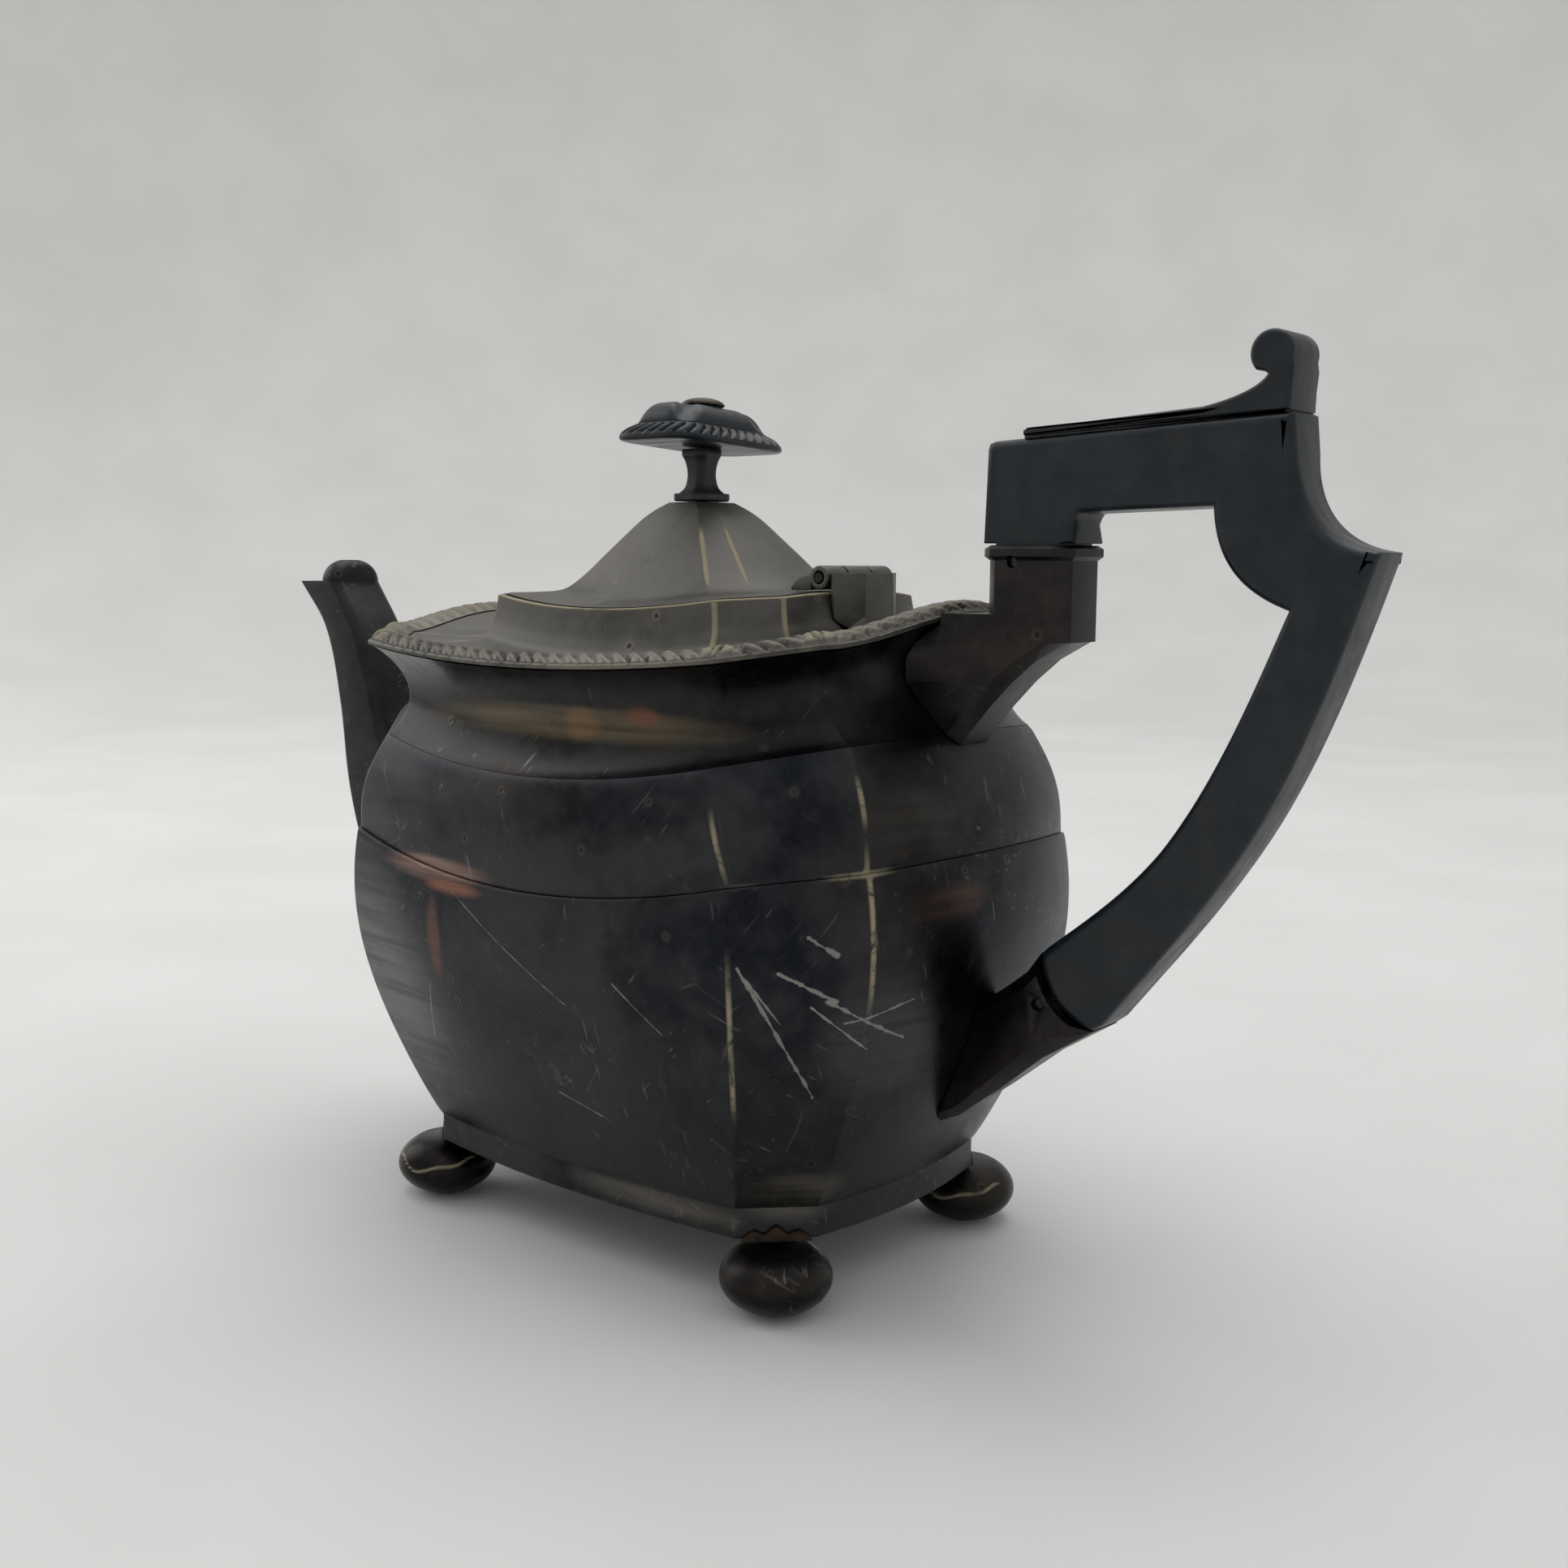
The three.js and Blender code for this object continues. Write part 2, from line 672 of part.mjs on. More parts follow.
// Lower socket: a horn that rises from the body, each section between a bottom and a top point.
function hornRing([bottomX, bottomZ, topX, topZ, halfY]) {
  const up = new THREE.Vector2(topX - bottomX, topZ - bottomZ);
  const half = up.length() / 2;
  up.normalize();
  const cant = Math.min(SOCKET_CANT, halfY * 0.55);
  return [
    [-half + cant, -halfY],
    [-half, -halfY + cant],
    [-half, halfY - cant],
    [-half + cant, halfY],
    [half - cant, halfY],
    [half, halfY - cant],
    [half, -halfY + cant],
    [half - cant, -halfY],
  ].map(([u, y]) => {
    const x = (bottomX + topX) / 2 + up.x * u;
    const z = (bottomZ + topZ) / 2 + up.y * u;
    return new THREE.Vector3(x, y, z);
  });
}
const hornRoot = endReach(bellyCrease);
const mouthHalfY = WOOD_THICKNESS / 2 + CLEARANCE + SOCKET_WALL;
const hornStations = [
  [hornRoot - 20, 27, hornRoot - 12, 56, 3],
  [hornRoot - 6.2, 33.5, hornRoot - 1, 56, 4],
  [hornRoot + 3, 40.6, hornRoot + 4.6, 60, 5.2],
  [hornRoot + 12.4, 48.4, hornRoot + 9, 63.3, 6.4],
  [hornRoot + 22.6, 55, hornRoot + 12, 67.2, mouthHalfY],
];
const hornBody = solid(loft(hornStations.map(hornRing)));

// The mouth is cut hollow by a round cutter, and the tenon's pocket goes in behind it.
const mouthBottom = hornStations[4];
const mouthMiddle = new THREE.Vector2((mouthBottom[0] + mouthBottom[2]) / 2, (mouthBottom[1] + mouthBottom[3]) / 2);
const mouthAlong = new THREE.Vector2(mouthBottom[2] - mouthBottom[0], mouthBottom[3] - mouthBottom[1]);
const mouthHalf = mouthAlong.length() / 2;
mouthAlong.normalize();
const mouthOut = new THREE.Vector2(mouthAlong.y, -mouthAlong.x);
const MOUTH_SAG = 3;
const cutterRadius = (mouthHalf ** 2 + MOUTH_SAG ** 2) / (2 * MOUTH_SAG);
const cutterCentre = mouthMiddle.clone().addScaledVector(mouthOut, cutterRadius - MOUTH_SAG);
const mouthCutter = solid(rod(cutterRadius, 30, "y", [cutterCentre.x, 0, cutterCentre.y], 48));

// A corner of the tenon: how far along the mouth and how far in from it.
const TENON_DEPTH = 8;
const TENON_HALF = 4.6;
const TENON_MOUTH_HALF = mouthHalf - SOCKET_WALL - 0.2;
const tenonPoint = (along, depth) =>
  mouthMiddle.clone().addScaledVector(mouthAlong, along).addScaledVector(mouthOut, -depth);
function pocketRing(half, halfY, depth) {
  const low = tenonPoint(-half, depth);
  const high = tenonPoint(half, depth);
  return hornRing([low.x, low.y, high.x, high.y, halfY]);
}
const pocketHalfY = legHalfY + CLEARANCE;
const lowerCavity = solid(
  loft([
    pocketRing(TENON_HALF + CLEARANCE, pocketHalfY, TENON_DEPTH + CLEARANCE),
    pocketRing(TENON_MOUTH_HALF + CLEARANCE, pocketHalfY, 0),
    pocketRing(TENON_MOUTH_HALF + CLEARANCE, pocketHalfY, -8),
  ]),
);
const lowerPin = tenonPoint(1.1, 5.2);
const lowerSocket = hornBody
  .subtract(mouthCutter)
  .subtract(lowerCavity)
  .subtract(pinHole(lowerPin.x, lowerPin.y))
  .subtract(bodyEnvelope);

// ---- Wooden handle and thumb rest ----

// The handle's outline: leg in the upper socket, level arm, spurred corner and bowed grip.
const legTopX = socketX - legHalfX;
const armTopZ = 154.5;
const armEndX = socketX + 46;
const spur = new THREE.Vector2(socketX + 60.4, 136.1);
const legEndZ = socketFloorZ + CLEARANCE;
const tenonLow = tenonPoint(-mouthHalf, TENON_DEPTH);
const tenonHigh = tenonPoint(mouthHalf, TENON_DEPTH);
const mouthLow = tenonPoint(-mouthHalf - 0.6, 0);
const mouthHigh = tenonPoint(mouthHalf, 0);

function woodOutline() {
  const shape = new THREE.Shape();
  shape.moveTo(legTopX, legEndZ);
  shape.lineTo(socketX + legHalfX, legEndZ);
  shape.lineTo(socketX + legHalfX, 142.3);
  shape.lineTo(socketX + 33.3, 143.1);
  // inside corner, down to the notch below the spur
  shape.bezierCurveTo(socketX + 33.8, 136, socketX + 36.8, 130.2, socketX + 46.4, 127);
  // inside of the grip
  shape.bezierCurveTo(socketX + 42, 116.5, socketX + 36, 100.5, socketX + 26.4, 87.6);
  shape.bezierCurveTo(socketX + 20, 79.5, socketX + 12, 73.5, mouthHigh.x + 1.6, mouthHigh.y + 1.6);
  shape.lineTo(mouthHigh.x, mouthHigh.y);
  shape.lineTo(tenonHigh.x, tenonHigh.y);
  shape.lineTo(tenonLow.x, tenonLow.y);
  shape.lineTo(mouthLow.x, mouthLow.y);
  // outside of the grip, up to the spur
  shape.bezierCurveTo(socketX + 23.5, 65.5, socketX + 35.5, 79, socketX + 43.8, 94.2);
  shape.bezierCurveTo(socketX + 50.5, 106.5, socketX + 55.5, 121, spur.x, spur.y);
  shape.bezierCurveTo(socketX + 52.5, 137, socketX + 47.2, 142, socketX + 46.7, 151);
  shape.lineTo(armEndX, armTopZ + 2.7);
  shape.lineTo(legTopX + 1.2, armTopZ + 0.2);
  shape.lineTo(legTopX, armTopZ - 1);
  shape.closePath();
  return shape;
}

// A shape in X and Z, as thick as a piece of wood, its edges rounded inside the outline.
function woodSolid(shape, thickness, edge, curveSegments) {
  const geometry = new THREE.ExtrudeGeometry(shape, {
    depth: thickness - 2 * edge,
    bevelEnabled: true,
    bevelThickness: edge,
    bevelSize: edge,
    bevelOffset: -edge,
    bevelSegments: 2,
    curveSegments,
  });
  geometry.rotateX(Math.PI / 2);
  return solid(geometry.translate(0, thickness / 2 - edge, 0));
}
// Where the wood enters a socket it is cut back to a tenon with a square shoulder.
const legTenon = solid(
  loft([
    cantedBox(legTenonHalfX, legHalfY, LEG_CHAMFER, socketX, legEndZ - 1),
    cantedBox(legTenonHalfX, legHalfY, LEG_CHAMFER, socketX, socketTopZ + 1),
  ]),
);
const legShoulder = solid(
  block(legTopX - 5, socketX + 12, -WOOD_THICKNESS, WOOD_THICKNESS, legEndZ - 2, socketTopZ + CLEARANCE),
).subtract(legTenon);
const gripTenon = solid(
  loft([
    pocketRing(TENON_HALF, legHalfY, TENON_DEPTH),
    pocketRing(TENON_MOUTH_HALF, legHalfY, 0),
    pocketRing(TENON_MOUTH_HALF, legHalfY, -4),
  ]),
);
const gripShoulder = solid(
  block(hornRoot, mouthLow.x + 3, -WOOD_THICKNESS, WOOD_THICKNESS, 45, mouthHigh.y + 2),
)
  .subtract(solid(rod(cutterRadius - CLEARANCE, 40, "y", [cutterCentre.x, 0, cutterCentre.y], 48)))
  .subtract(gripTenon);
const handle = woodSolid(woodOutline(), WOOD_THICKNESS, WOOD_EDGE, 8)
  .subtract(legShoulder)
  .subtract(gripShoulder)
  .subtract(pinHole(upperPinX, upperPinZ))
  .subtract(pinHole(lowerPin.x, lowerPin.y));

function thumbOutline() {
  const shape = new THREE.Shape();
  shape.moveTo(legTopX + 7, armTopZ + 0.7 + CLEARANCE);
  shape.lineTo(armEndX - 0.6, armTopZ + 2.6 + CLEARANCE);
  shape.lineTo(armEndX - 0.2, 164.4);
  // the scroll, rolled back towards the lid
  shape.absarc(armEndX - 3.9, 166.1, 3.6, -0.3, Math.PI * 1.25, false);
  shape.lineTo(armEndX - 4.2, 163.4);
  shape.bezierCurveTo(armEndX - 5.4, 161, armEndX - 10, 159.6, armEndX - 15, 158.6);
  shape.lineTo(legTopX + 7, 156.5);
  shape.closePath();
  return shape;
}
const thumbRest = woodSolid(thumbOutline(), WOOD_THICKNESS - 0.6, 0.5, 8);

const pinLength = 2 * (socketHalfY - PIN_RECESS);

// ---- Hinge ----

const hingeX = collarTop.x + 0.2;
const hingeZ = collarZ + COLLAR_CANT_RISE + 0.8 + HINGE_RADIUS + HINGE_GAP;
const hingeCentre = (y) => [hingeX, y, hingeZ];
const blockX0 = hingeX + HINGE_RADIUS + CLEARANCE;
const blockX1 = blockX0 + 3.9;
const blockTopZ = hingeZ + 0.9;

function hingeBlockRing(z, flare) {
  const inner = HINGE_HALF_LENGTH - 0.6;
  const outer = 4.2 + flare;
  return [
    [blockX0, -inner],
    [blockX0 + 0.8, -inner],
    [blockX1 + flare, -outer],
    [blockX1 + flare, outer],
    [blockX0 + 0.8, inner],
    [blockX0, inner],
  ].map(([x, y]) => new THREE.Vector3(x, y, z));
}
const coverEnvelope = solid(
  loft([
    ring(offset(deckEdge, 0, -12)),
    ring(offset(deckEdge, 0, CLEARANCE)),
    ...coverOuter.slice(2, -1).map((level) => ring(offset(level, -CLEARANCE, CLEARANCE))),
    ring(offset(collarTop, -CLEARANCE, CLEARANCE)),
  ]),
);
const hingeBlock = solid(
  loft([hingeBlockRing(collarZ - 7, 1.5), hingeBlockRing(collarZ - 3, 0.2), hingeBlockRing(blockTopZ, 0)]),
).subtract(coverEnvelope);

const hingeBore = solid(rod(HINGE_PIN_RADIUS + CLEARANCE, 60, "y", hingeCentre(0), 16));
const knuckleLength = HINGE_HALF_LENGTH - LID_KNUCKLE_HALF_LENGTH - HINGE_GAP;
const knuckle = (side) => {
  const y = side * (HINGE_HALF_LENGTH - knuckleLength / 2);
  return solid(rod(HINGE_RADIUS, knuckleLength, "y", hingeCentre(y), 20)).subtract(hingeBore);
};

// ---- Lid ----

// s runs from 0 at the finial to 1 at the brim.
const lidBrimInset = COLLAR_EDGE + 0.4;
const lidBrim = offset(collarTop, lidBrimInset, 0.2);
const lidCrown = section({ x: 5.6, y: 5.6, cant: 2, z: LID_TOP_Z });
const lidRise = curveThrough([
  [0, LID_TOP_Z],
  [0.09, 144],
  [0.17, 142.1],
  [0.37, 136],
  [0.53, 131],
  [0.65, 128.3],
  [0.82, lidBrim.z + 0.2],
  [1, lidBrim.z],
]);
function lidLevel(s, inset = 0, drop = 0) {
  const level = blendSections(lidCrown, lidBrim, s);
  const saddle = s * s;
  return {
    ...offset(level, inset),
    z: lidRise(s) - drop,
    dip: lidBrim.dip * saddle,
    cantRise: lidBrim.cantRise * saddle,
    endRise: lidBrim.endRise * saddle,
    spoutCantRise: 0,
    spoutEndRise: 0,
  };
}
const LID_STEPS = [1, 0.82, 0.65, 0.53, 0.37, 0.22, 0.1, 0];
const lidOuter = LID_STEPS.map((s) => lidLevel(s));
const lidInner = LID_STEPS.map((s) => lidLevel(s, s === 1 ? 0 : LID_WALL * 0.7, s > 0.75 ? 0.8 : LID_WALL));
const screwBore = solid(rod(FINIAL_SCREW_RADIUS + CLEARANCE, 80, "z", [0, 0, LID_TOP_Z], 16));
const hingeRelief = solid(
  rod(HINGE_RADIUS + HINGE_GAP, 2 * HINGE_HALF_LENGTH + 2, "y", hingeCentre(0), 24),
);
const lidDome = solid(loft(lidOuter.map(ring)))
  .subtract(solid(loft(lidInner.map(ring))))
  .subtract(hingeRelief)
  .subtract(screwBore);

const bezelOuterInset = COLLAR_EDGE + LID_LEDGE + 0.5;
const bezelTopLift = 0.2 - 0.8 - CLEARANCE;
const lidBezel = loft(
  [
    offset(collarTop, bezelOuterInset, bezelTopLift - BEZEL_DEPTH),
    offset(collarTop, bezelOuterInset, bezelTopLift),
    offset(collarTop, bezelOuterInset + 1, bezelTopLift),
    offset(collarTop, bezelOuterInset + 1, bezelTopLift - BEZEL_DEPTH),
  ].map(ring),
  true,
);

// Leaf on the lid, with the middle knuckle.
const leafX1 = hingeX - HINGE_RADIUS - HINGE_GAP;
const leafX0 = leafX1 - 5;
const leafTopZ = hingeZ + 0.4;
const lidEnvelope = solid(
  loft(
    [offset(lidBrim, 0, -8), ...lidOuter].map((level) => ring(offset(level, -CLEARANCE, CLEARANCE))),
  ),
);
const leafShape = new THREE.Shape();
leafShape.moveTo(leafX0, collarZ - 2);
leafShape.lineTo(leafX1, collarZ - 2);
leafShape.lineTo(leafX1, leafTopZ);
leafShape.quadraticCurveTo(leafX0 + 0.6, leafTopZ, leafX0, collarZ + 1);
leafShape.closePath();
function leafPlate() {
  const length = 2 * (HINGE_HALF_LENGTH - 1);
  const geometry = new THREE.ExtrudeGeometry(leafShape, { depth: length, bevelEnabled: false, curveSegments: 5 });
  geometry.rotateX(Math.PI / 2);
  return solid(geometry.translate(0, length / 2, 0));
}
const lidKnuckle = solid(rod(HINGE_RADIUS, 2 * LID_KNUCKLE_HALF_LENGTH, "y", hingeCentre(0), 20));
const tab = solid(
  block(leafX1 - 1, hingeX, -LID_KNUCKLE_HALF_LENGTH, LID_KNUCKLE_HALF_LENGTH, hingeZ - 1.2, leafTopZ),
);
const lidLeaf = leafPlate().add(tab).add(lidKnuckle).subtract(hingeBore).subtract(lidEnvelope);

// ---- Finial ----

const plateZ = LID_TOP_Z + CLEARANCE;
const stemZ = plateZ + FINIAL_PLATE_HEIGHT;
const knobZ = stemZ + FINIAL_STEM_HEIGHT + CLEARANCE;
const knobTopZ = knobZ + FINIAL_KNOB_HEIGHT;
const stemSection = (x, y, z) => section({ x, y, cant: Math.min(x, y) * 0.45, z });
const stemTopZ = knobZ - CLEARANCE;
const finialStem = solid(
  loft(
    [
      stemSection(4.6, 5.3, plateZ),
      stemSection(4.6, 5.3, stemZ),
      stemSection(3.1, 3.8, stemZ + 0.2),
      stemSection(2.4, 2.9, stemZ + 2),
      stemSection(2.3, 2.8, stemZ + 4),
      stemSection(2.5, 3.1, stemZ + 6),
      stemSection(3.1, 3.8, stemTopZ - 1.3),
      stemSection(3, 3.7, stemTopZ),
    ].map(ring),
  ),
).subtract(screwBore);

// The knob, level by level: [distance in from its edge, height].
const knobEdge = section({
  x: FINIAL_KNOB_HALF_X,
  y: FINIAL_KNOB_HALF_Y,
  cant: 3.6,
  z: knobZ,
  longBulge: 0.5,
  endBulge: 0.6,
});
const knobOutline = [
  [FINIAL_KNOB_HALF_X * 0.6, 0],
  [0.4, 0.2],
  [0, 0.9],
  [0.9, 1.9],
  [2.9, 3.4],
  [3.5, 4.3],
  [4.8, 5.8],
  [6.3, 7],
  [7, FINIAL_KNOB_HEIGHT],
];
const knobLevels = knobOutline.map(([inset, lift]) => offset(knobEdge, inset, lift));
const knobBody = loft(knobLevels.map(ring));
knobBody.translate(0, 0, -knobZ);
knobBody.rotateX(THREE.MathUtils.degToRad(-FINIAL_KNOB_LEAN));
knobBody.translate(0, 0, knobZ);
const finialKnob = solid(knobBody).subtract(screwBore);

const nutTopZ = LID_TOP_Z - LID_WALL - 3 * CLEARANCE;
const WASHER_HEIGHT = 0.8;
const NUT_HEIGHT = 2.4;
const washerTopZ = LID_TOP_Z - LID_WALL - CLEARANCE;
const nutZ = washerTopZ - WASHER_HEIGHT - CLEARANCE;
const buttonZ = knobTopZ + CLEARANCE;
const finialScrew = lathe([
  [0, nutZ - NUT_HEIGHT - 0.8],
  [FINIAL_SCREW_RADIUS, nutZ - NUT_HEIGHT - 0.8],
  [FINIAL_SCREW_RADIUS, buttonZ],
  [FINIAL_BUTTON_RADIUS, buttonZ],
  [FINIAL_BUTTON_RADIUS * 0.92, buttonZ + FINIAL_BUTTON_HEIGHT * 0.45],
  [FINIAL_BUTTON_RADIUS * 0.6, buttonZ + FINIAL_BUTTON_HEIGHT * 0.85],
  [0, buttonZ + FINIAL_BUTTON_HEIGHT],
]);
function collarRing(inner, outer, z0, z1, segments) {
  const profile = [
    [inner, z0],
    [outer, z0],
    [outer, z1],
    [inner, z1],
    [inner, z0],
  ];
  return lathe(profile, segments);
}
const boreRadius = FINIAL_SCREW_RADIUS + CLEARANCE;
const finialWasher = collarRing(boreRadius, 4, washerTopZ - WASHER_HEIGHT, washerTopZ, 20);
const finialNut = collarRing(boreRadius, 3.4, nutZ - NUT_HEIGHT, nutZ, 6);

// ---- The assembly ----

const SILVER = { color: 0x3a3734, metalness: 0.9, roughness: 0.42 };
const SILVER_PALE = { color: 0x7c766e, metalness: 0.85, roughness: 0.5 };
const BLACK_WOOD = { color: 0x14161a, metalness: 0, roughness: 0.38 };

const group = new THREE.Group();
group.position.x = -(spur.x + spoutLipX) / 2;

function add(name, geometry, finish) {
  const mesh = new THREE.Mesh(geometry, new THREE.MeshStandardMaterial(finish));
  mesh.name = name;
  group.add(mesh);
  return mesh;
}
const addSolid = (name, manifold, finish) => add(name, geometryOf(manifold), finish);

addSolid("lower_body", pierced(solid(lowerShell)), SILVER);
add("upper_body", upperShell, SILVER);
add("base_plate", basePlate, SILVER);
add("neck_band", neckShell, SILVER);
add("top_cover", coverShell, SILVER_PALE);
add("gadroon_border", border, SILVER_PALE);
for (const [end, sx] of [["spout", -1], ["handle", 1]]) {
  for (const [side, sy] of [["near", -1], ["far", 1]]) {
    const ball = add(`foot_${end}_${side}`, footBall(), SILVER);
    ball.position.set(sx * footX, sy * footY, 0);
    const seat = add(`foot_seat_${end}_${side}`, footSeat(), SILVER);
    const inward = FOOT_SEAT_INSET / Math.SQRT2;
    seat.position.set(sx * (footX - inward), sy * (footY - inward), 0);
  }
}
addSolid("spout", spout, SILVER);
addSolid("spout_hood", spoutHood, SILVER);
addSolid("upper_handle_socket", upperSocket, SILVER);
addSolid("lower_handle_socket", lowerSocket, SILVER);
addSolid("handle", handle, BLACK_WOOD);
addSolid("thumb_rest", thumbRest, BLACK_WOOD);
add("upper_handle_pin", rod(PIN_RADIUS, pinLength, "y", [upperPinX, 0, upperPinZ], 12), SILVER);
add("lower_handle_pin", rod(PIN_RADIUS, pinLength - 1, "y", [lowerPin.x, 0, lowerPin.y], 12), SILVER);
addSolid("hinge_block", hingeBlock, SILVER_PALE);
addSolid("hinge_knuckle_near", knuckle(-1), SILVER_PALE);
addSolid("hinge_knuckle_far", knuckle(1), SILVER_PALE);
add("hinge_pin", rod(HINGE_PIN_RADIUS, 2 * HINGE_HALF_LENGTH, "y", hingeCentre(0), 14), SILVER_PALE);
addSolid("lid_dome", lidDome, SILVER_PALE);
add("lid_bezel", lidBezel, SILVER_PALE);
addSolid("lid_hinge_leaf", lidLeaf, SILVER_PALE);
addSolid("finial_stem", finialStem, BLACK_WOOD);
addSolid("finial_knob", finialKnob, BLACK_WOOD);
add("finial_screw", finialScrew, SILVER);
add("finial_washer", finialWasher, SILVER);
add("finial_nut", finialNut, SILVER);

export default group;
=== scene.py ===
"""Looks for the silver teapot: tarnished panelled body, gadroon border, domed lid, ebonised wood."""

import math
import random

import bmesh
import bpy
from mathutils import Matrix, Vector
from mathutils.geometry import tessellate_polygon


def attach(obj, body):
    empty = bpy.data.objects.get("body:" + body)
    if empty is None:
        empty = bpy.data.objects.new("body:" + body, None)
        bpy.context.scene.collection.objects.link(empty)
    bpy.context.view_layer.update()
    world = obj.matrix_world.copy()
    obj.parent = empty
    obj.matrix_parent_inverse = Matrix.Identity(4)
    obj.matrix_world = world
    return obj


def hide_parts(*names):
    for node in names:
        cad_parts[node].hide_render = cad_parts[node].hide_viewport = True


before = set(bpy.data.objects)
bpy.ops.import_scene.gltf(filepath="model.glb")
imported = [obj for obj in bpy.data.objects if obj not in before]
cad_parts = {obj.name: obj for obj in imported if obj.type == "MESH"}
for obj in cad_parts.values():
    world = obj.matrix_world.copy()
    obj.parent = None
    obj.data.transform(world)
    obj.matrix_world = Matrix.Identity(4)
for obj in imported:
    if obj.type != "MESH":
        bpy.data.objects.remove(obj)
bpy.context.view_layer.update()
random.seed(11)

MM = 0.001
BODY_X = -5.4  # the middle of the body in the row frame, mm
CREASE_REACH = 0.6  # how far a corner crease's pale cream spreads, partly deposit and partly painted highlight, mm
MATERIALS = {}


def placed(x, y, z):
    """A point given in mm from the body's middle, in the row frame's metres."""
    return Vector(((x + BODY_X) * MM, y * MM, z * MM))


def lerp(a, b, f):
    return a + (b - a) * f


def smooth(f):
    f = min(max(f, 0.0), 1.0)
    return f * f * (3 - 2 * f)


# ---------------------------------------------------------------- sections of the body


def level(**values):
    """An oblong section with canted corners: half sizes x and y at the creases, in mm."""
    base = {"long_bulge": 0, "end_bulge": 0, "dip": 0, "cant_rise": 0, "end_rise": 0, "power": 1}
    base.update(values)
    base.setdefault("spout_cant_rise", base["cant_rise"])
    base.setdefault("spout_end_rise", base["end_rise"])
    return base


def mix_levels(a, b, f):
    return {k: lerp(a[k], b[k], f) for k in a}


def inset(s, distance, lift=0.0):
    return {
        **s,
        "x": s["x"] - distance,
        "y": s["y"] - distance,
        "cant": s["cant"] - distance * (2 - math.sqrt(2)),
        "z": s["z"] + lift,
    }


def side_steps(length, spacing):
    """Places from -1 to just under 1 along a side, packed closely beside its two corners."""
    half = length / 2
    edge = [0.0, 0.35, 0.8, 1.5, 2.6]
    near = [-1 + d / half for d in edge if d < half * 0.8]
    middle = max(int((2 * half - 2 * edge[-1]) / spacing), 1)
    low, high = near[-1], -near[-1]
    inner = [lerp(low, high, i / middle) for i in range(1, middle)]
    return near + inner + [-t for t in reversed(near[1:])]


LONG_T = side_steps(90, 2.4)
CANT_T = side_steps(20, 2.2)
END_T = side_steps(60, 2.2)


def ring(s, soft=0.35, steps=None):
    """Points of a section, counter-clockwise, and how near each is to a corner crease (0 to 1)."""
    long_t, cant_t, end_t = steps or (LONG_T, CANT_T, END_T)
    points, crease, corners = [], [], []
    x, y, c = s["x"], s["y"], s["cant"]

    def add(px, py, pz, t, half):
        points.append(Vector((px, py, pz)))
        crease.append(math.exp(-(((1 - abs(t)) * half / CREASE_REACH) ** 2)))
        if t == -1:
            corners.append(len(points) - 1)

    for sign in (1, -1):
        cant_rise = s["cant_rise"] if sign > 0 else s["spout_cant_rise"]
        end_rise = s["end_rise"] if sign > 0 else s["spout_end_rise"]
        for t in long_t:
            swell = 1 - t * t
            bulged = y + s["long_bulge"] * swell
            add(sign * t * (x - c), -sign * bulged, s["z"] - s["dip"] * swell, t, x - c)
        for t in cant_t:
            f = (t + 1) / 2
            add(sign * (x - c * (1 - f)), -sign * (y - c * f), s["z"] + cant_rise * f, t, c * 0.7)
        for t in end_t:
            swell = 1 - t * t
            z = s["z"] + cant_rise + end_rise * swell ** s["power"]
            add(sign * (x + s["end_bulge"] * swell), sign * t * (y - c), z, t, y - c)
        for t in cant_t:
            f = (t + 1) / 2
            add(sign * (x - c * f), sign * (y - c * (1 - f)), s["z"] + cant_rise * (1 - f), t, c * 0.7)
    for i in corners:
        middle = (points[i - 1] + points[(i + 1) % len(points)]) / 2
        points[i] = points[i].lerp(middle, soft)
    return points, crease


def spline(pairs):
    """A smooth function through (parameter, value) pairs."""

    def slope(i):
        lo, hi = max(i - 1, 0), min(i + 1, len(pairs) - 1)
        return (pairs[hi][1] - pairs[lo][1]) / (pairs[hi][0] - pairs[lo][0])

    def at(p):
        p = min(max(p, pairs[0][0]), pairs[-1][0])
        i = 0
        while i < len(pairs) - 2 and p > pairs[i + 1][0]:
            i += 1
        (p0, v0), (p1, v1) = pairs[i], pairs[i + 1]
        d = p1 - p0
        t = (p - p0) / d
        return (
            v0 * (1 + 2 * t) * (1 - t) ** 2
            + slope(i) * d * t * (1 - t) ** 2
            + v1 * t * t * (3 - 2 * t)
            + slope(i + 1) * d * t * t * (t - 1)
        )

    return at


def spline_levels(levels, count):
    """Levels along a smooth curve through the given ones."""
    keys = levels[0].keys()
    curves = {k: spline([(i, s[k]) for i, s in enumerate(levels)]) for k in keys}
    last = len(levels) - 1
    return [{k: curves[k](last * i / (count - 1)) for k in keys} for i in range(count)]


# ---------------------------------------------------------------- mesh building


def mesh_of(bm, name):
    mesh = bpy.data.meshes.new(name)
    bm.to_mesh(mesh)
    bm.free()
    return mesh


def place_all(bm):
    for v in bm.verts:
        v.co = placed(*v.co)


def finish_mesh(name, bm, body, replaces, material, sharp=40):
    """Turns a bmesh whose points are in mm from the body's middle into a finished piece."""
    place_all(bm)
    finish_object(name, mesh_of(bm, name), body, replaces, material, sharp)


def finish_object(name, mesh, body, replaces, material, sharp=40):
    mesh.shade_smooth()
    mesh.set_sharp_from_angle(angle=math.radians(sharp))
    obj = bpy.data.objects.new(name, mesh)
    bpy.context.scene.collection.objects.link(obj)
    mesh.materials.clear()
    mesh.materials.append(MATERIALS[material])
    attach(obj, body)
    if replaces:
        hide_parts(*replaces)


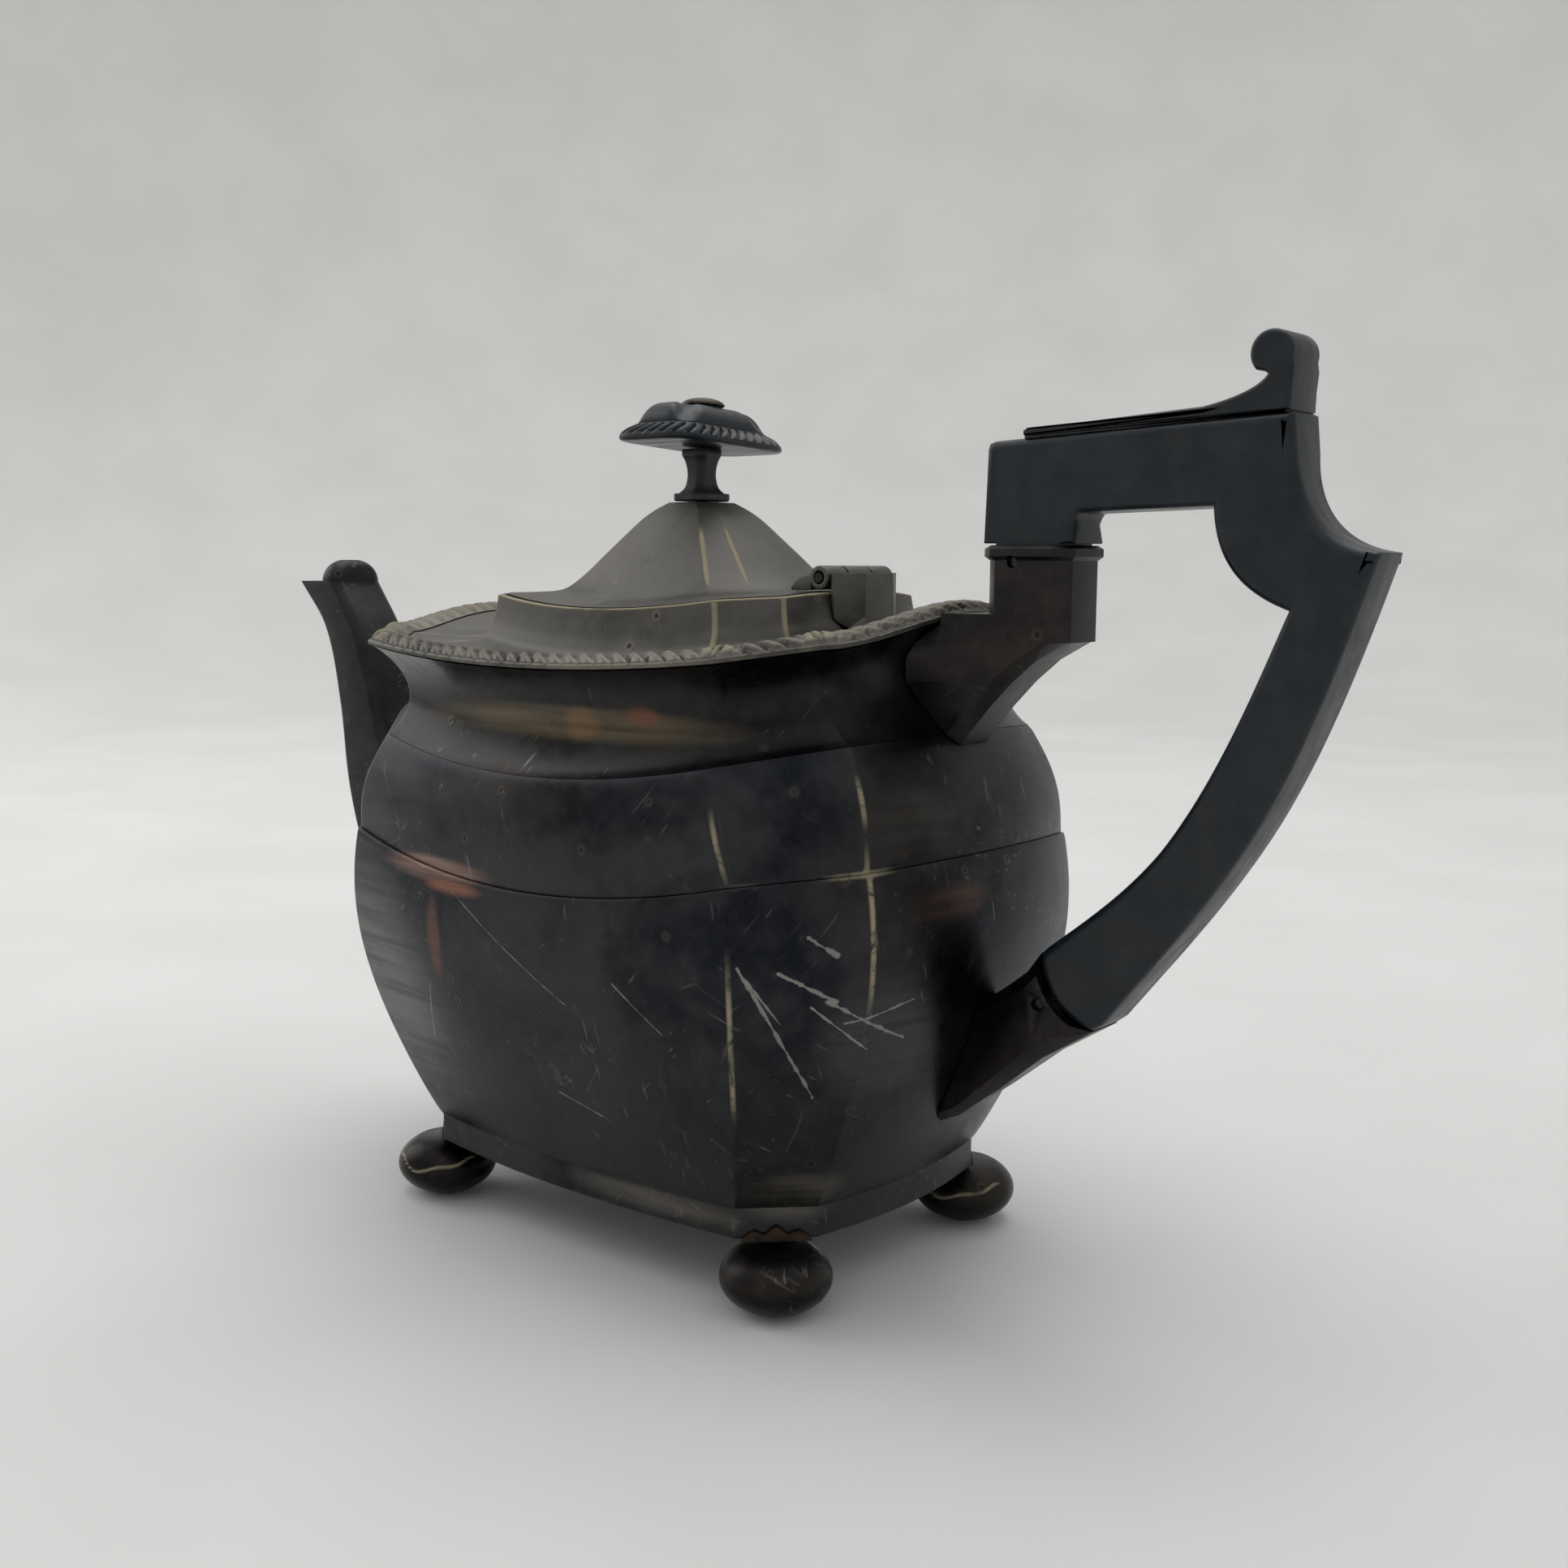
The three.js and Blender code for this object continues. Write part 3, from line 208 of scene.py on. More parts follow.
def loft(bm, rows, wrap=False, masks=None, dirt=None, caps=True):
    """Joins rows of points, each a closed loop. masks and dirt give each point's pale and dark values."""
    pale = bm.verts.layers.float.get("crease") or bm.verts.layers.float.new("crease")
    dark = bm.verts.layers.float.get("dirt") or bm.verts.layers.float.new("dirt")
    count = len(rows[0])
    grid = []
    for r, row in enumerate(rows):
        line = []
        for j, p in enumerate(row):
            v = bm.verts.new(p)
            v[pale] = masks[r][j] if masks else 0.0
            v[dark] = dirt[r][j] if dirt else 0.0
            line.append(v)
        grid.append(line)
    total = len(grid)
    for r in range(total if wrap else total - 1):
        low, high = grid[r], grid[(r + 1) % total]
        for j in range(count):
            k = (j + 1) % count
            bm.faces.new((low[j], low[k], high[k], high[j]))
    if not wrap and caps:
        bm.faces.new(list(reversed(grid[0])))
        bm.faces.new(grid[-1])


def shell_piece(name, outer, replaces, material, highlight_seams):
    """A sheet of the pot from its outer levels. The seam levels, given as (index, reach), get a pale line
    along them: a painted highlight.
    """
    bm = bmesh.new()
    rows, masks = [], []
    for i, s in enumerate(outer):
        points, crease = ring(s)
        along = 0.0
        # painted highlight along the chosen horizontal levels
        for index, reach in highlight_seams:
            at = outer[index]["z"]
            along = max(along, math.exp(-(((s["z"] - at) / reach) ** 2)))
        rows.append(points)
        masks.append([max(c * 0.9, along) for c in crease])
    for s in reversed(outer):
        points, _ = ring(inset(s, WALL - SKIN))
        rows.append(points)
        masks.append([0.0] * len(points))
    loft(bm, rows, wrap=True, masks=masks)
    finish_mesh(name, bm, "pot", replaces, material)


def soft_polygon(corners, radius, steps=3):
    """A polygon in a plane with its corners rounded."""
    points = []
    count = len(corners)
    for i, corner in enumerate(corners):
        before, after = corners[i - 1], corners[(i + 1) % count]
        start = corner + (before - corner).normalized() * min(radius, (before - corner).length * 0.45)
        end = corner + (after - corner).normalized() * min(radius, (after - corner).length * 0.45)
        for k in range(steps + 1):
            t = k / steps
            points.append(start * (1 - t) ** 2 + corner * 2 * t * (1 - t) + end * t * t)
    return points


def box_ring(x0, x1, y, z, cant, radius=0.5):
    corners = [
        (x0 + cant, -y), (x1 - cant, -y), (x1, -y + cant), (x1, y - cant),
        (x1 - cant, y), (x0 + cant, y), (x0, y - cant), (x0, -y + cant),
    ]
    return soft_polygon([Vector((px, py, z)) for px, py in corners], radius)


def lathe(bm, centre, profile, segments, caps=True):
    """Turns (radius, height) pairs about the upright axis through centre."""
    rows = []
    for r, z in profile:
        row = []
        for i in range(segments):
            a = 2 * math.pi * i / segments
            row.append(centre + Vector((r * math.cos(a), r * math.sin(a), z)))
        rows.append(row)
    loft(bm, rows, caps=caps)


def scratch_object(bm):
    obj = bpy.data.objects.new("scratch", mesh_of(bm, "scratch"))
    bpy.context.scene.collection.objects.link(obj)
    return obj


def result_of(obj):
    """The mesh that an object's modifiers make."""
    return bpy.data.meshes.new_from_object(obj.evaluated_get(bpy.context.evaluated_depsgraph_get()))


def refined(name, node, body, material, width, segments, sharp=50):
    """A CAD node's own shape with its flat facets merged and its edges rounded by this width in mm."""
    bm = bmesh.new()
    bm.from_mesh(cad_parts[node].data)
    bmesh.ops.remove_doubles(bm, verts=bm.verts, dist=0.00002)
    bmesh.ops.dissolve_limit(bm, angle_limit=math.radians(1.2), verts=bm.verts, edges=bm.edges)
    scratch = scratch_object(bm)
    bevel = scratch.modifiers.new("bevel", "BEVEL")
    bevel.width = width * MM
    bevel.segments = segments
    bevel.limit_method = "ANGLE"
    bevel.angle_limit = math.radians(28)
    rounded = result_of(scratch)
    bpy.data.objects.remove(scratch)
    finish_object(name, rounded, body, [node], material, sharp)


# ---------------------------------------------------------------- materials


class Look:
    """One material's node tree, built a step at a time."""

    def __init__(self, name):
        self.material = bpy.data.materials.new(name)
        self.material.use_nodes = True
        self.tree = self.material.node_tree
        self.shader = self.tree.nodes["Principled BSDF"]
        self.place = self.node("ShaderNodeTexCoord").outputs["Object"]
        MATERIALS[name] = self.material

    def node(self, kind, inputs=None, **settings):
        made = self.tree.nodes.new(kind)
        for key, value in settings.items():
            setattr(made, key, value)
        self.feed_all(made, inputs or {})
        return made

    def feed_all(self, node, inputs):
        """Links or sets each named input, leaving those given as None."""
        for key, value in inputs.items():
            socket = node.inputs[key]
            if isinstance(value, bpy.types.NodeSocket):
                self.tree.links.new(value, socket)
            elif isinstance(value, tuple) and len(value) == 3 and len(socket.default_value) == 4:
                socket.default_value = (*value, 1.0)
            elif value is not None:
                socket.default_value = value

    def stretched(self, *scale):
        return self.node("ShaderNodeMapping", {"Vector": self.place, "Scale": scale}).outputs["Vector"]

    def noise(self, scale, detail=4.0, roughness=0.55, place=None, distortion=0.0, output="Fac"):
        inputs = {"Vector": place or self.place, "Scale": scale, "Detail": detail}
        inputs.update(Roughness=roughness, Distortion=distortion)
        return self.node("ShaderNodeTexNoise", inputs).outputs[output]

    def cells(self, scale, feature="F1", place=None):
        inputs = {"Vector": place or self.place, "Scale": scale}
        return self.node("ShaderNodeTexVoronoi", inputs, feature=feature)

    def maths(self, operation, a, b=0.0, clamp=False):
        return self.node("ShaderNodeMath", {0: a, 1: b}, operation=operation, use_clamp=clamp).outputs[0]

    def times(self, a, b, clamp=False):
        return self.maths("MULTIPLY", a, b, clamp)

    def vector(self, operation, a, b=None, output="Vector"):
        second = 3 if operation == "SCALE" else 1
        return self.node("ShaderNodeVectorMath", {0: a, second: b}, operation=operation).outputs[output]

    def band(self, value, low, high, to_low=0.0, to_high=1.0):
        """Runs smoothly from to_low to to_high as the value goes from low to high."""
        inputs = {"Value": value, "From Min": low, "From Max": high, "To Min": to_low, "To Max": to_high}
        return self.node("ShaderNodeMapRange", inputs, interpolation_type="SMOOTHSTEP").outputs["Result"]

    def mix(self, factor, a, b):
        return self.node("ShaderNodeMix", {0: factor, 6: a, 7: b}, data_type="RGBA").outputs[2]

    def streaks(self, turn, scale):
        """Short straight scratches at one slope, where a second noise lets them show."""
        inputs = {
            "Vector": self.place,
            "Rotation": (0.0, turn, 0.6),
            "Scale": tuple(length / scale for length in STREAK_SIZE),
        }
        turned = self.node("ShaderNodeMapping", inputs, vector_type="TEXTURE").outputs["Vector"]
        shown = self.band(self.noise(34 * scale, 3, 0.6), 0.5, 0.64)
        return self.times(self.band(self.noise(1.0, 1.0, 0.5, turned), 0.69, 0.74), shown)

    def attribute(self, name):
        return self.node("ShaderNodeAttribute", attribute_name=name).outputs["Fac"]

    def patch(self, centre, size, soft=0.6):
        """1 inside an ellipsoid with this centre and half sizes, in mm from the body's middle, 0 outside."""
        offset = self.vector("SUBTRACT", self.place, tuple(placed(*centre)))
        scaled = self.vector("DIVIDE", offset, tuple(v * MM for v in size))
        length = self.vector("LENGTH", scaled, output="Value")
        return self.band(length, 1 - soft, 1 + soft * 0.3, 1.0, 0.0)

    def bump(self, height, strength, distance, under=None):
        inputs = {"Strength": strength, "Distance": distance * MM, "Height": height, "Normal": under}
        return self.node("ShaderNodeBump", inputs).outputs["Normal"]

    def done(self, colour, roughness, metallic, normal, coat=0.0, specular=0.5):
        inputs = {"Base Color": colour, "Roughness": roughness, "Metallic": metallic, "Normal": normal}
        inputs.update({"Coat Weight": coat, "Specular IOR Level": specular})
        self.feed_all(self.shader, inputs)


# the pale cream of the creases and seams: partly real deposit, partly painted highlight
DEPOSIT_HIGHLIGHT_CREAM = (0.30, 0.26, 0.17)
PALE_LINE = (0.19, 0.185, 0.175)
GRIME = (0.009, 0.008, 0.007)
STREAK_SIZE = (0.016, 0.002, 0.0007)  # the grain of the straight scratches, metres


def silver(name, dark, light, warm, rough, deposit=1.0, wear=1.0, features=None, places=None):
    """Tarnished plate: cloudy tarnish, small ringed pits, hair scratches, and pale cream in the creases that
    is partly deposit and partly painted highlight.
    """
    look = Look(name)
    clouds = look.noise(26, 5, 0.6, distortion=0.6)
    fine = look.noise(210, 6, 0.65)
    colour = look.mix(look.band(clouds, 0.36, 0.66), dark, light)
    colour = look.mix(look.band(look.noise(14, 3, 0.5, distortion=1.0), 0.45, 0.75, 0, 0.6), colour, warm)
    colour = look.mix(look.band(fine, 0.35, 0.8, 0.0, 0.22), colour, tuple(c * 2.2 for c in light))

    # pits: a dark middle in a pale ring
    pits = look.cells(135)
    chosen = look.node("ShaderNodeSeparateColor", {0: pits.outputs["Color"]})
    kept = look.maths("GREATER_THAN", chosen.outputs[0], 0.45)
    halo = look.times(look.band(pits.outputs["Distance"], 0.2, 0.06), kept)
    core = look.times(look.band(pits.outputs["Distance"], 0.09, 0.05), kept)
    colour = look.mix(look.times(halo, 0.5), colour, tuple(c * 1.9 for c in warm))
    colour = look.mix(look.times(core, 0.8), colour, (0.012, 0.01, 0.009))

    # hair scratches, broken up by a cloudy mask
    drift = look.noise(30, 2, 0.5, output="Color")
    bent = look.vector("ADD", look.place, look.vector("SCALE", drift, 0.012))
    lines = look.cells(46, "DISTANCE_TO_EDGE", bent)
    broken = look.band(look.noise(38, 3, 0.6), 0.6, 0.68)
    hair = look.times(look.band(lines.outputs["Distance"], 0.012, 0.003), broken)
    colour = look.mix(look.times(hair, 0.18 * wear), colour, PALE_LINE)
    for turn, scale in ((0.5, 1.0), (-0.9, 1.3), (1.4, 0.8)):
        streak = look.streaks(turn, scale)
        colour = look.mix(look.times(streak, 0.4 * wear), colour, PALE_LINE)

    # flaked specks
    where = look.band(look.noise(20, 2, 0.5), 0.57, 0.68)
    flakes = look.times(look.band(look.noise(320, 5, 0.7), 0.62, 0.7), where)
    colour = look.mix(look.times(flakes, 0.6 * wear), colour, PALE_LINE)

    # pale cream along the creases and seams: partly deposit, partly painted highlight
    seam = look.attribute("crease")
    patchy = look.band(look.noise(60, 4, 0.6, place=look.stretched(1, 1, 0.35)), 0.3, 0.5)
    deposit_highlight_mask = look.times(look.times(look.band(seam, 0.3, 0.8), patchy), deposit, clamp=True)
    if places:
        near = 0.0
        for centre, size in places:
            near = look.maths("MAXIMUM", near, look.patch(centre, size, 0.5))
        ragged = look.band(look.noise(150, 4, 0.7, distortion=1.5), 0.3, 0.55)
        deposit_highlight_mask = look.times(deposit_highlight_mask, look.times(near, ragged))
    colour = look.mix(deposit_highlight_mask, colour, DEPOSIT_HIGHLIGHT_CREAM)
    if features:
        colour = features(look, colour)
    colour = look.mix(look.times(look.attribute("dirt"), 0.9), colour, GRIME)

    roughness = look.band(clouds, 0.3, 0.7, *rough)
    roughness = look.maths("ADD", roughness, look.times(deposit_highlight_mask, 0.3), clamp=True)
    roughness = look.maths("ADD", roughness, look.band(fine, 0.4, 0.8, 0.0, 0.12), clamp=True)
    metallic = look.maths("SUBTRACT", 0.92, look.times(deposit_highlight_mask, 0.75), clamp=True)
    waves = look.bump(look.noise(45, 2, 0.4), 0.22, 0.5)
    grain = look.bump(fine, 0.16, 0.12, waves)
    dents = look.bump(look.maths("SUBTRACT", look.times(halo, 0.5), core), 0.5, 0.12, grain)
    cuts = look.bump(look.maths("SUBTRACT", deposit_highlight_mask, hair), 0.35, 0.15, dents)
    look.done(colour, roughness, metallic, cuts)


def body_marks_and_painted_reflections(look, colour):
    """Marks in one place: a painted gold-orange reflection band across the neck, painted grey reflections on
    the panels, coppery tints at the belly crease, long scratches near the handle corner.
    """
    streak = look.noise(70, 4, 0.6, place=look.stretched(0.2, 0.2, 5))
    broken = look.band(streak, 0.35, 0.6, 0.4, 1.0)
    for centre, size, tint, amount in TINTS_AND_PAINTED_REFLECTIONS:
        mask = look.times(look.times(look.patch(centre, size, 0.55), broken), amount)
        colour = look.mix(mask, colour, tint)
    for start, end, width, facing in SCRATCHES:
        colour = look.mix(scratch_mask(look, start, end, width, facing), colour, (0.26, 0.25, 0.23))
    return colour


def scratch_mask(look, start, end, width, facing):
    """A thin wandering line between two points, in mm from the body's middle, on a panel facing this way."""
    a, b, normal = placed(*start), placed(*end), Vector(facing).normalized()
    along = (b - a) - normal * (b - a).dot(normal)
    offset = look.vector("SUBTRACT", look.place, tuple(a))
    rel = look.vector("SUBTRACT", offset, look.vector("PROJECT", offset, tuple(normal)))
    dot = look.vector("DOT_PRODUCT", rel, tuple(along / along.length_squared), "Value")
    share = look.maths("MINIMUM", look.maths("MAXIMUM", dot, 0.0), 1.0)
    gap = look.vector("DISTANCE", rel, look.vector("SCALE", tuple(along), share), "Value")
    wobble = look.band(look.noise(420, 3, 0.6), 0.3, 0.7, 0.2, 1.3)
    ratio = look.maths("DIVIDE", gap, look.times(wobble, width * MM))
    middle = tuple((p + q) / 2 for p, q in zip(start, end))
    return look.times(look.band(ratio, 1.0, 0.45, 0.0, 0.8), look.patch(middle, (24, 16, 24), 0.2))


# Tinted patches, the first three rows a painted gold-orange reflection band across the neck and the grey rows
# painted lighter and darker reflections on the panels: (centre, half sizes, colour, amount), mm from the
# body's middle
TINTS_AND_PAINTED_REFLECTIONS = [
    ((8, -42, 105), (40, 14, 3.4), (0.125, 0.100, 0.064), 0.95),
    ((12, -42, 105), (5, 14, 3.2), (0.20, 0.125, 0.06), 0.8),
    ((26, -42, 107), (4, 14, 2.2), (0.16, 0.062, 0.040), 0.8),
    ((-22, -50, 75.5), (17, 10, 2.6), (0.34, 0.22, 0.175), 0.85),
    ((-16, -52, 72.5), (9, 10, 1.6), (0.30, 0.13, 0.085), 0.8),
    ((-22, -52, 62), (2.4, 10, 9), (0.15, 0.075, 0.055), 0.7),
    ((-48, -48, 46), (25, 18, 32), (0.15, 0.15, 0.148), 0.85),
    ((-67, -38, 60), (9, 14, 36), (0.30, 0.30, 0.30), 0.9),
    ((-40, -50, 88), (22, 12, 8), (0.070, 0.066, 0.062), 0.6),
    ((26, -44, 17), (30, 12, 3.0), (0.17, 0.155, 0.13), 0.6),
    ((50, -30, 22), (12, 10, 6), (0.20, 0.18, 0.15), 0.55),
    ((68, -14, 76), (10, 12, 4), (0.13, 0.072, 0.052), 0.6),
    ((66, -26, 52), (10, 14, 14), (0.060, 0.061, 0.063), 0.8),
    ((66, -20, 90), (8, 12, 7), (0.075, 0.066, 0.058), 0.6),
]
LONG_SIDE, NEAR_CANT = (0.0, -1.0, 0.0), (0.78, -0.62, 0.0)
# (start, end, width, the way the marked panel faces)
SCRATCHES = [
    ((50, -46, 67), (61, -37, 43), 0.42, NEAR_CANT),
    ((51, -45, 65), (57, -42, 57), 0.26, NEAR_CANT),
    ((56, -42, 66), (63, -35, 61), 0.5, NEAR_CANT),
    ((62, -36, 61), (70, -24, 53), 0.5, NEAR_CANT),
    ((63, -33, 57), (70, -22, 60), 0.36, NEAR_CANT),
    ((60, -38, 60), (66, -30, 52), 0.32, NEAR_CANT),
    ((59, -38, 72), (63, -35, 69), 0.6, NEAR_CANT),
    ((-16, -52, 72), (14, -51, 55), 0.16, LONG_SIDE),
    ((26, -50, 61), (36, -49, 53), 0.16, LONG_SIDE),
    ((-30, -50, 40), (-26, -50, 52), 0.2, LONG_SIDE),
    ((6, -51, 36), (16, -50, 33), 0.24, LONG_SIDE),
]
# where the creases show pale cream, partly deposit and partly painted highlight: (centre, half sizes)
DEPOSIT_HIGHLIGHT_PLACES = [
    ((50.5, -46, 88), (6, 9, 7.5)),
    ((48, -45, 55), (6, 9, 17)),
    ((66, -32, 72), (7, 9, 15)),
    ((62, -34, 94), (7, 9, 5)),
    ((47, -42, 16), (12, 9, 3)),
    ((-50, -46, 88), (8, 9, 8)),
    ((52, 40, 60), (20, 30, 30)),
]


def ebonised(name, base=(0.0026, 0.0058, 0.0095), lift=(0.006, 0.0115, 0.0175), rough=(0.3, 0.5)):
    """Black stained hardwood: long grain, faint brown where rubbed, dust in the pores and along the edges."""
    look = Look(name)
    along = look.stretched(0.12, 1.0, 0.35)
    grain = look.noise(420, 5, 0.6, place=along, distortion=0.3)
    wide = look.noise(36, 3, 0.5)
    colour = look.mix(look.band(grain, 0.35, 0.7), base, lift)
    colour = look.mix(look.band(wide, 0.55, 0.8, 0.0, 0.35), colour, (0.016, 0.015, 0.015))
    dust = look.times(look.band(look.noise(700, 3, 0.6), 0.66, 0.74), look.band(wide, 0.5, 0.7))
    colour = look.mix(look.times(dust, 0.3), colour, (0.09, 0.09, 0.09))
    edge = look.times(look.attribute("crease"), look.band(look.noise(160, 4, 0.6), 0.4, 0.7))
    colour = look.mix(look.times(edge, 0.6), colour, (0.10, 0.098, 0.095))
    roughness = look.maths("ADD", look.band(grain, 0.3, 0.75, *rough), look.times(edge, 0.2))
    normal = look.bump(grain, 0.12, 0.08, look.bump(wide, 0.15, 0.3))
    look.done(colour, roughness, 0.0, normal, coat=0.06, specular=0.32)


def plain_metal(name, base, worn):
    look = Look(name)
    spots = look.noise(240, 5, 0.65)
    colour = look.mix(look.band(spots, 0.4, 0.68), base, worn)
    look.done(colour, look.band(spots, 0.3, 0.7, 0.35, 0.55), 0.9, look.bump(spots, 0.3, 0.1))


# name: (darkest, lightest, warm tint, roughness range, other settings)
SILVERS = {
    "body silver": ((0.0078, 0.0098, 0.0142), (0.037, 0.0375, 0.039), (0.042, 0.033, 0.027), (0.24, 0.42),
                    {"features": body_marks_and_painted_reflections, "places": DEPOSIT_HIGHLIGHT_PLACES}),
    "neck silver": ((0.010, 0.0105, 0.012), (0.032, 0.030, 0.028), (0.040, 0.031, 0.023), (0.22, 0.38),
                    {"deposit": 0.8, "features": body_marks_and_painted_reflections, "places": DEPOSIT_HIGHLIGHT_PLACES}),
    "lid silver": ((0.062, 0.060, 0.056), (0.125, 0.120, 0.110), (0.105, 0.090, 0.072), (0.36, 0.54),
                   {"deposit": 1.3, "wear": 0.6}),
    "border silver": ((0.055, 0.052, 0.047), (0.17, 0.158, 0.132), (0.11, 0.095, 0.07), (0.34, 0.5),
                      {"deposit": 0.8}),
    "spout silver": ((0.012, 0.015, 0.019), (0.034, 0.034, 0.034), (0.036, 0.032, 0.028), (0.28, 0.46),
                     {"deposit": 0.5}),
    "socket silver": ((0.014, 0.014, 0.016), (0.042, 0.038, 0.034), (0.048, 0.034, 0.027), (0.28, 0.48),
                      {"deposit": 0.5}),
    "foot silver": ((0.010, 0.009, 0.009), (0.034, 0.030, 0.026), (0.040, 0.030, 0.023), (0.28, 0.46),
                    {"deposit": 0.9}),
}
for silver_name, (*tones, settings) in SILVERS.items():
    silver(silver_name, *tones, **settings)
ebonised("ebonised wood")
ebonised("stem wood", (0.008, 0.010, 0.013), (0.022, 0.023, 0.024), (0.35, 0.55))
plain_metal("button metal", (0.035, 0.031, 0.026), (0.085, 0.075, 0.062))
plain_metal("pin metal", (0.03, 0.027, 0.024), (0.10, 0.09, 0.075))
plain_metal("tab metal", (0.022, 0.016, 0.013), (0.055, 0.038, 0.028))

# ---------------------------------------------------------------- body, neck, cover and border

BAND_BOTTOM, BAND_TOP = 13.3, 19.1
BELLY_Z, SHOULDER_Z, RIM_Z, COLLAR_Z = 80.2, 99.5, 117.2, 127.2
WALL = 1.1
SKIN = 0.08  # the visible sheet lies this far inside the CAD solid
BELLY_SWELL, UPPER_SWELL, NECK_DEPTH = 4.2, 1.8, 5.4

base_level = level(x=51.5, y=35.4, cant=10.8, z=BAND_BOTTOM, long_bulge=3, end_bulge=3)
band_level = {**base_level, "z": BAND_TOP}
belly_crease = level(
    x=67, y=48.2, cant=16.9, z=BELLY_Z, long_bulge=4, end_bulge=5, dip=6, cant_rise=2.2, end_rise=1
)
shoulder = level(
    x=60.2, y=45.6, cant=17.1, z=SHOULDER_Z, long_bulge=4, end_bulge=5, dip=4.4, cant_rise=3.6, end_rise=1
)
rim = level(
    x=59.5, y=47.5, cant=13.2, z=RIM_Z, long_bulge=4, end_bulge=7, dip=2.4,
    cant_rise=2.4, end_rise=5.2, spout_cant_rise=0.84, spout_end_rise=3.9, power=2,
)
collar_top = level(
    x=38.1, y=28.4, cant=8.9, z=COLLAR_Z, long_bulge=3.2, end_bulge=2.8, dip=2.1,
    cant_rise=0.6, end_rise=1, spout_cant_rise=0, spout_end_rise=0,
)


def belly_level(f):
    out = mix_levels(band_level, belly_crease, math.sin(f * math.pi / 2) ** 0.86)
    up = mix_levels(band_level, belly_crease, f)
    swell = BELLY_SWELL * math.sin(math.pi * f) * f
    made = {**out, "x": out["x"] + swell, "y": out["y"] + swell * 0.6}
    made.update(cant=up["cant"] + swell * 0.85, z=up["z"])
    for key in ("dip", "cant_rise", "end_rise", "spout_cant_rise", "spout_end_rise"):
        made[key] = up[key] * f
    return made


def make_body():
    steps = [0.004, 0.012] + [i / 40 for i in range(1, 40)] + [0.985]
    lower = [inset(base_level, 0.4), inset(base_level, 0, 0.35), inset(band_level, 0, -0.5), band_level]
    lower += [belly_level(f) for f in steps]
    lower += [inset(belly_crease, *turn) for turn in ((0.02, -0.3), (0.16, -0.06), (0.5, 0.02))]
    lower = [inset(s, SKIN) for s in lower]
    shell_piece("belly_shell", lower, ["lower_body"], "body silver", [(-1, 0.5), (0, 0.5)])
    start = inset(belly_crease, 0.6)
    upper = [inset(start, 0.15, 0), inset(start, 0.0, 0.1)]
    for i in range(1, 20):
        f = i / 20
        upper.append(inset(mix_levels(start, shoulder, f), -UPPER_SWELL * math.sin(math.pi * f)))
    upper += [inset(shoulder, *turn) for turn in ((0.02, -0.35), (0.2, -0.08), (0.9, 0.0))]
    upper = [inset(s, SKIN) for s in upper]
    shell_piece("shoulder_shell", upper, ["upper_body"], "body silver", [(-1, 0.6), (0, 0.5)])
    neck_top = inset(rim, 0.8, -0.3)
    neck = []
    for i in range(27):
        f = i / 26
        hollow = NECK_DEPTH * math.sin(math.pi * f) ** 0.8
        neck.append(inset(mix_levels(shoulder, neck_top, f), SKIN + 0.25 * (1 - f) ** 8 + hollow))
    shell_piece("neck_shell", neck, ["neck_band"], "neck silver", [(0, 0.5)])


def make_cover():
    foot = level(x=collar_top["x"] + 3, y=collar_top["y"] + 2.6, cant=collar_top["cant"] + 1, z=RIM_Z + 1.2,
                 long_bulge=3.4, end_bulge=3, dip=2.4, cant_rise=0.8, end_rise=1.6, spout_cant_rise=0.3)
    deck = inset(rim, 7.6, 0.9)
    outer = [
        inset(rim, 4.6, -0.3),
        inset(deck, -0.4, 0.0),
        inset(mix_levels(deck, foot, 0.5), 0, -0.5),
        foot,
        inset(mix_levels(foot, collar_top, 0.3), 0.9),
        inset(mix_levels(foot, collar_top, 0.65), 0.7),
        inset(collar_top, 0.05, -0.5),
    ]
    outer = spline_levels(outer, 38) + [inset(collar_top, 0.1, -0.15), inset(collar_top, 0.5, 0.0)]
    ledge = ((1.2, 0.0), (1.4, -0.1), (1.45, -1.0), (4.4, -1.0), (4.4, -2.0), (1.9, -2.1))
    inner = [inset(collar_top, *turn) for turn in ledge]
    inner += [inset(mix_levels(foot, collar_top, f), 2) for f in (0.65, 0.3)]
    inner += [inset(foot, 0.8, -1), inset(mix_levels(deck, foot, 0.5), 0.3, -1.5)]
    inner += [inset(deck, 0.3, -0.9), inset(rim, 4.7, -1.1)]
    bm = bmesh.new()
    rows, masks = [], []
    lip = len(outer) - 2
    for i, s in enumerate(outer + inner):
        points, crease = ring(s)
        # a pale line along the collar's lip: a painted highlight
        edge = math.exp(-(((i - lip - 0.5) / 1.4) ** 2))
        rows.append(points)
        masks.append([max(c, edge) for c in crease] if i <= len(outer) + 1 else [0.0] * len(points))
    loft(bm, rows, wrap=True, masks=masks)
    finish_mesh("deck_and_collar", bm, "pot", ["top_cover"], "lid silver")


BORDER_STEPS = (side_steps(92, 0.42), side_steps(18.7, 0.42), side_steps(69, 0.42))
BORDER_PROFILE = [  # (inset from the rim, lift, how strongly the lobes show)
    (0.6, 0.0, 0.0), (0.1, 0.12, 0.0), (0.0, 0.5, 0.0), (0.12, 0.9, 0.0), (0.7, 1.1, 0.1), (0.95, 1.5, 0.6),
    (1.3, 2.05, 1.0), (1.9, 2.5, 1.0), (2.6, 2.75, 1.0), (3.4, 2.8, 1.0), (4.2, 2.7, 1.0), (5.0, 2.45, 0.9),
    (5.7, 2.05, 0.7), (6.3, 1.6, 0.4), (6.8, 1.3, 0.1), (7.0, 1.15, 0.0), (6.4, 0.8, 0.0), (4.0, 0.0, 0.0),
]
LOBE_PITCH = 3.9
SHELL_REACH = 5.5


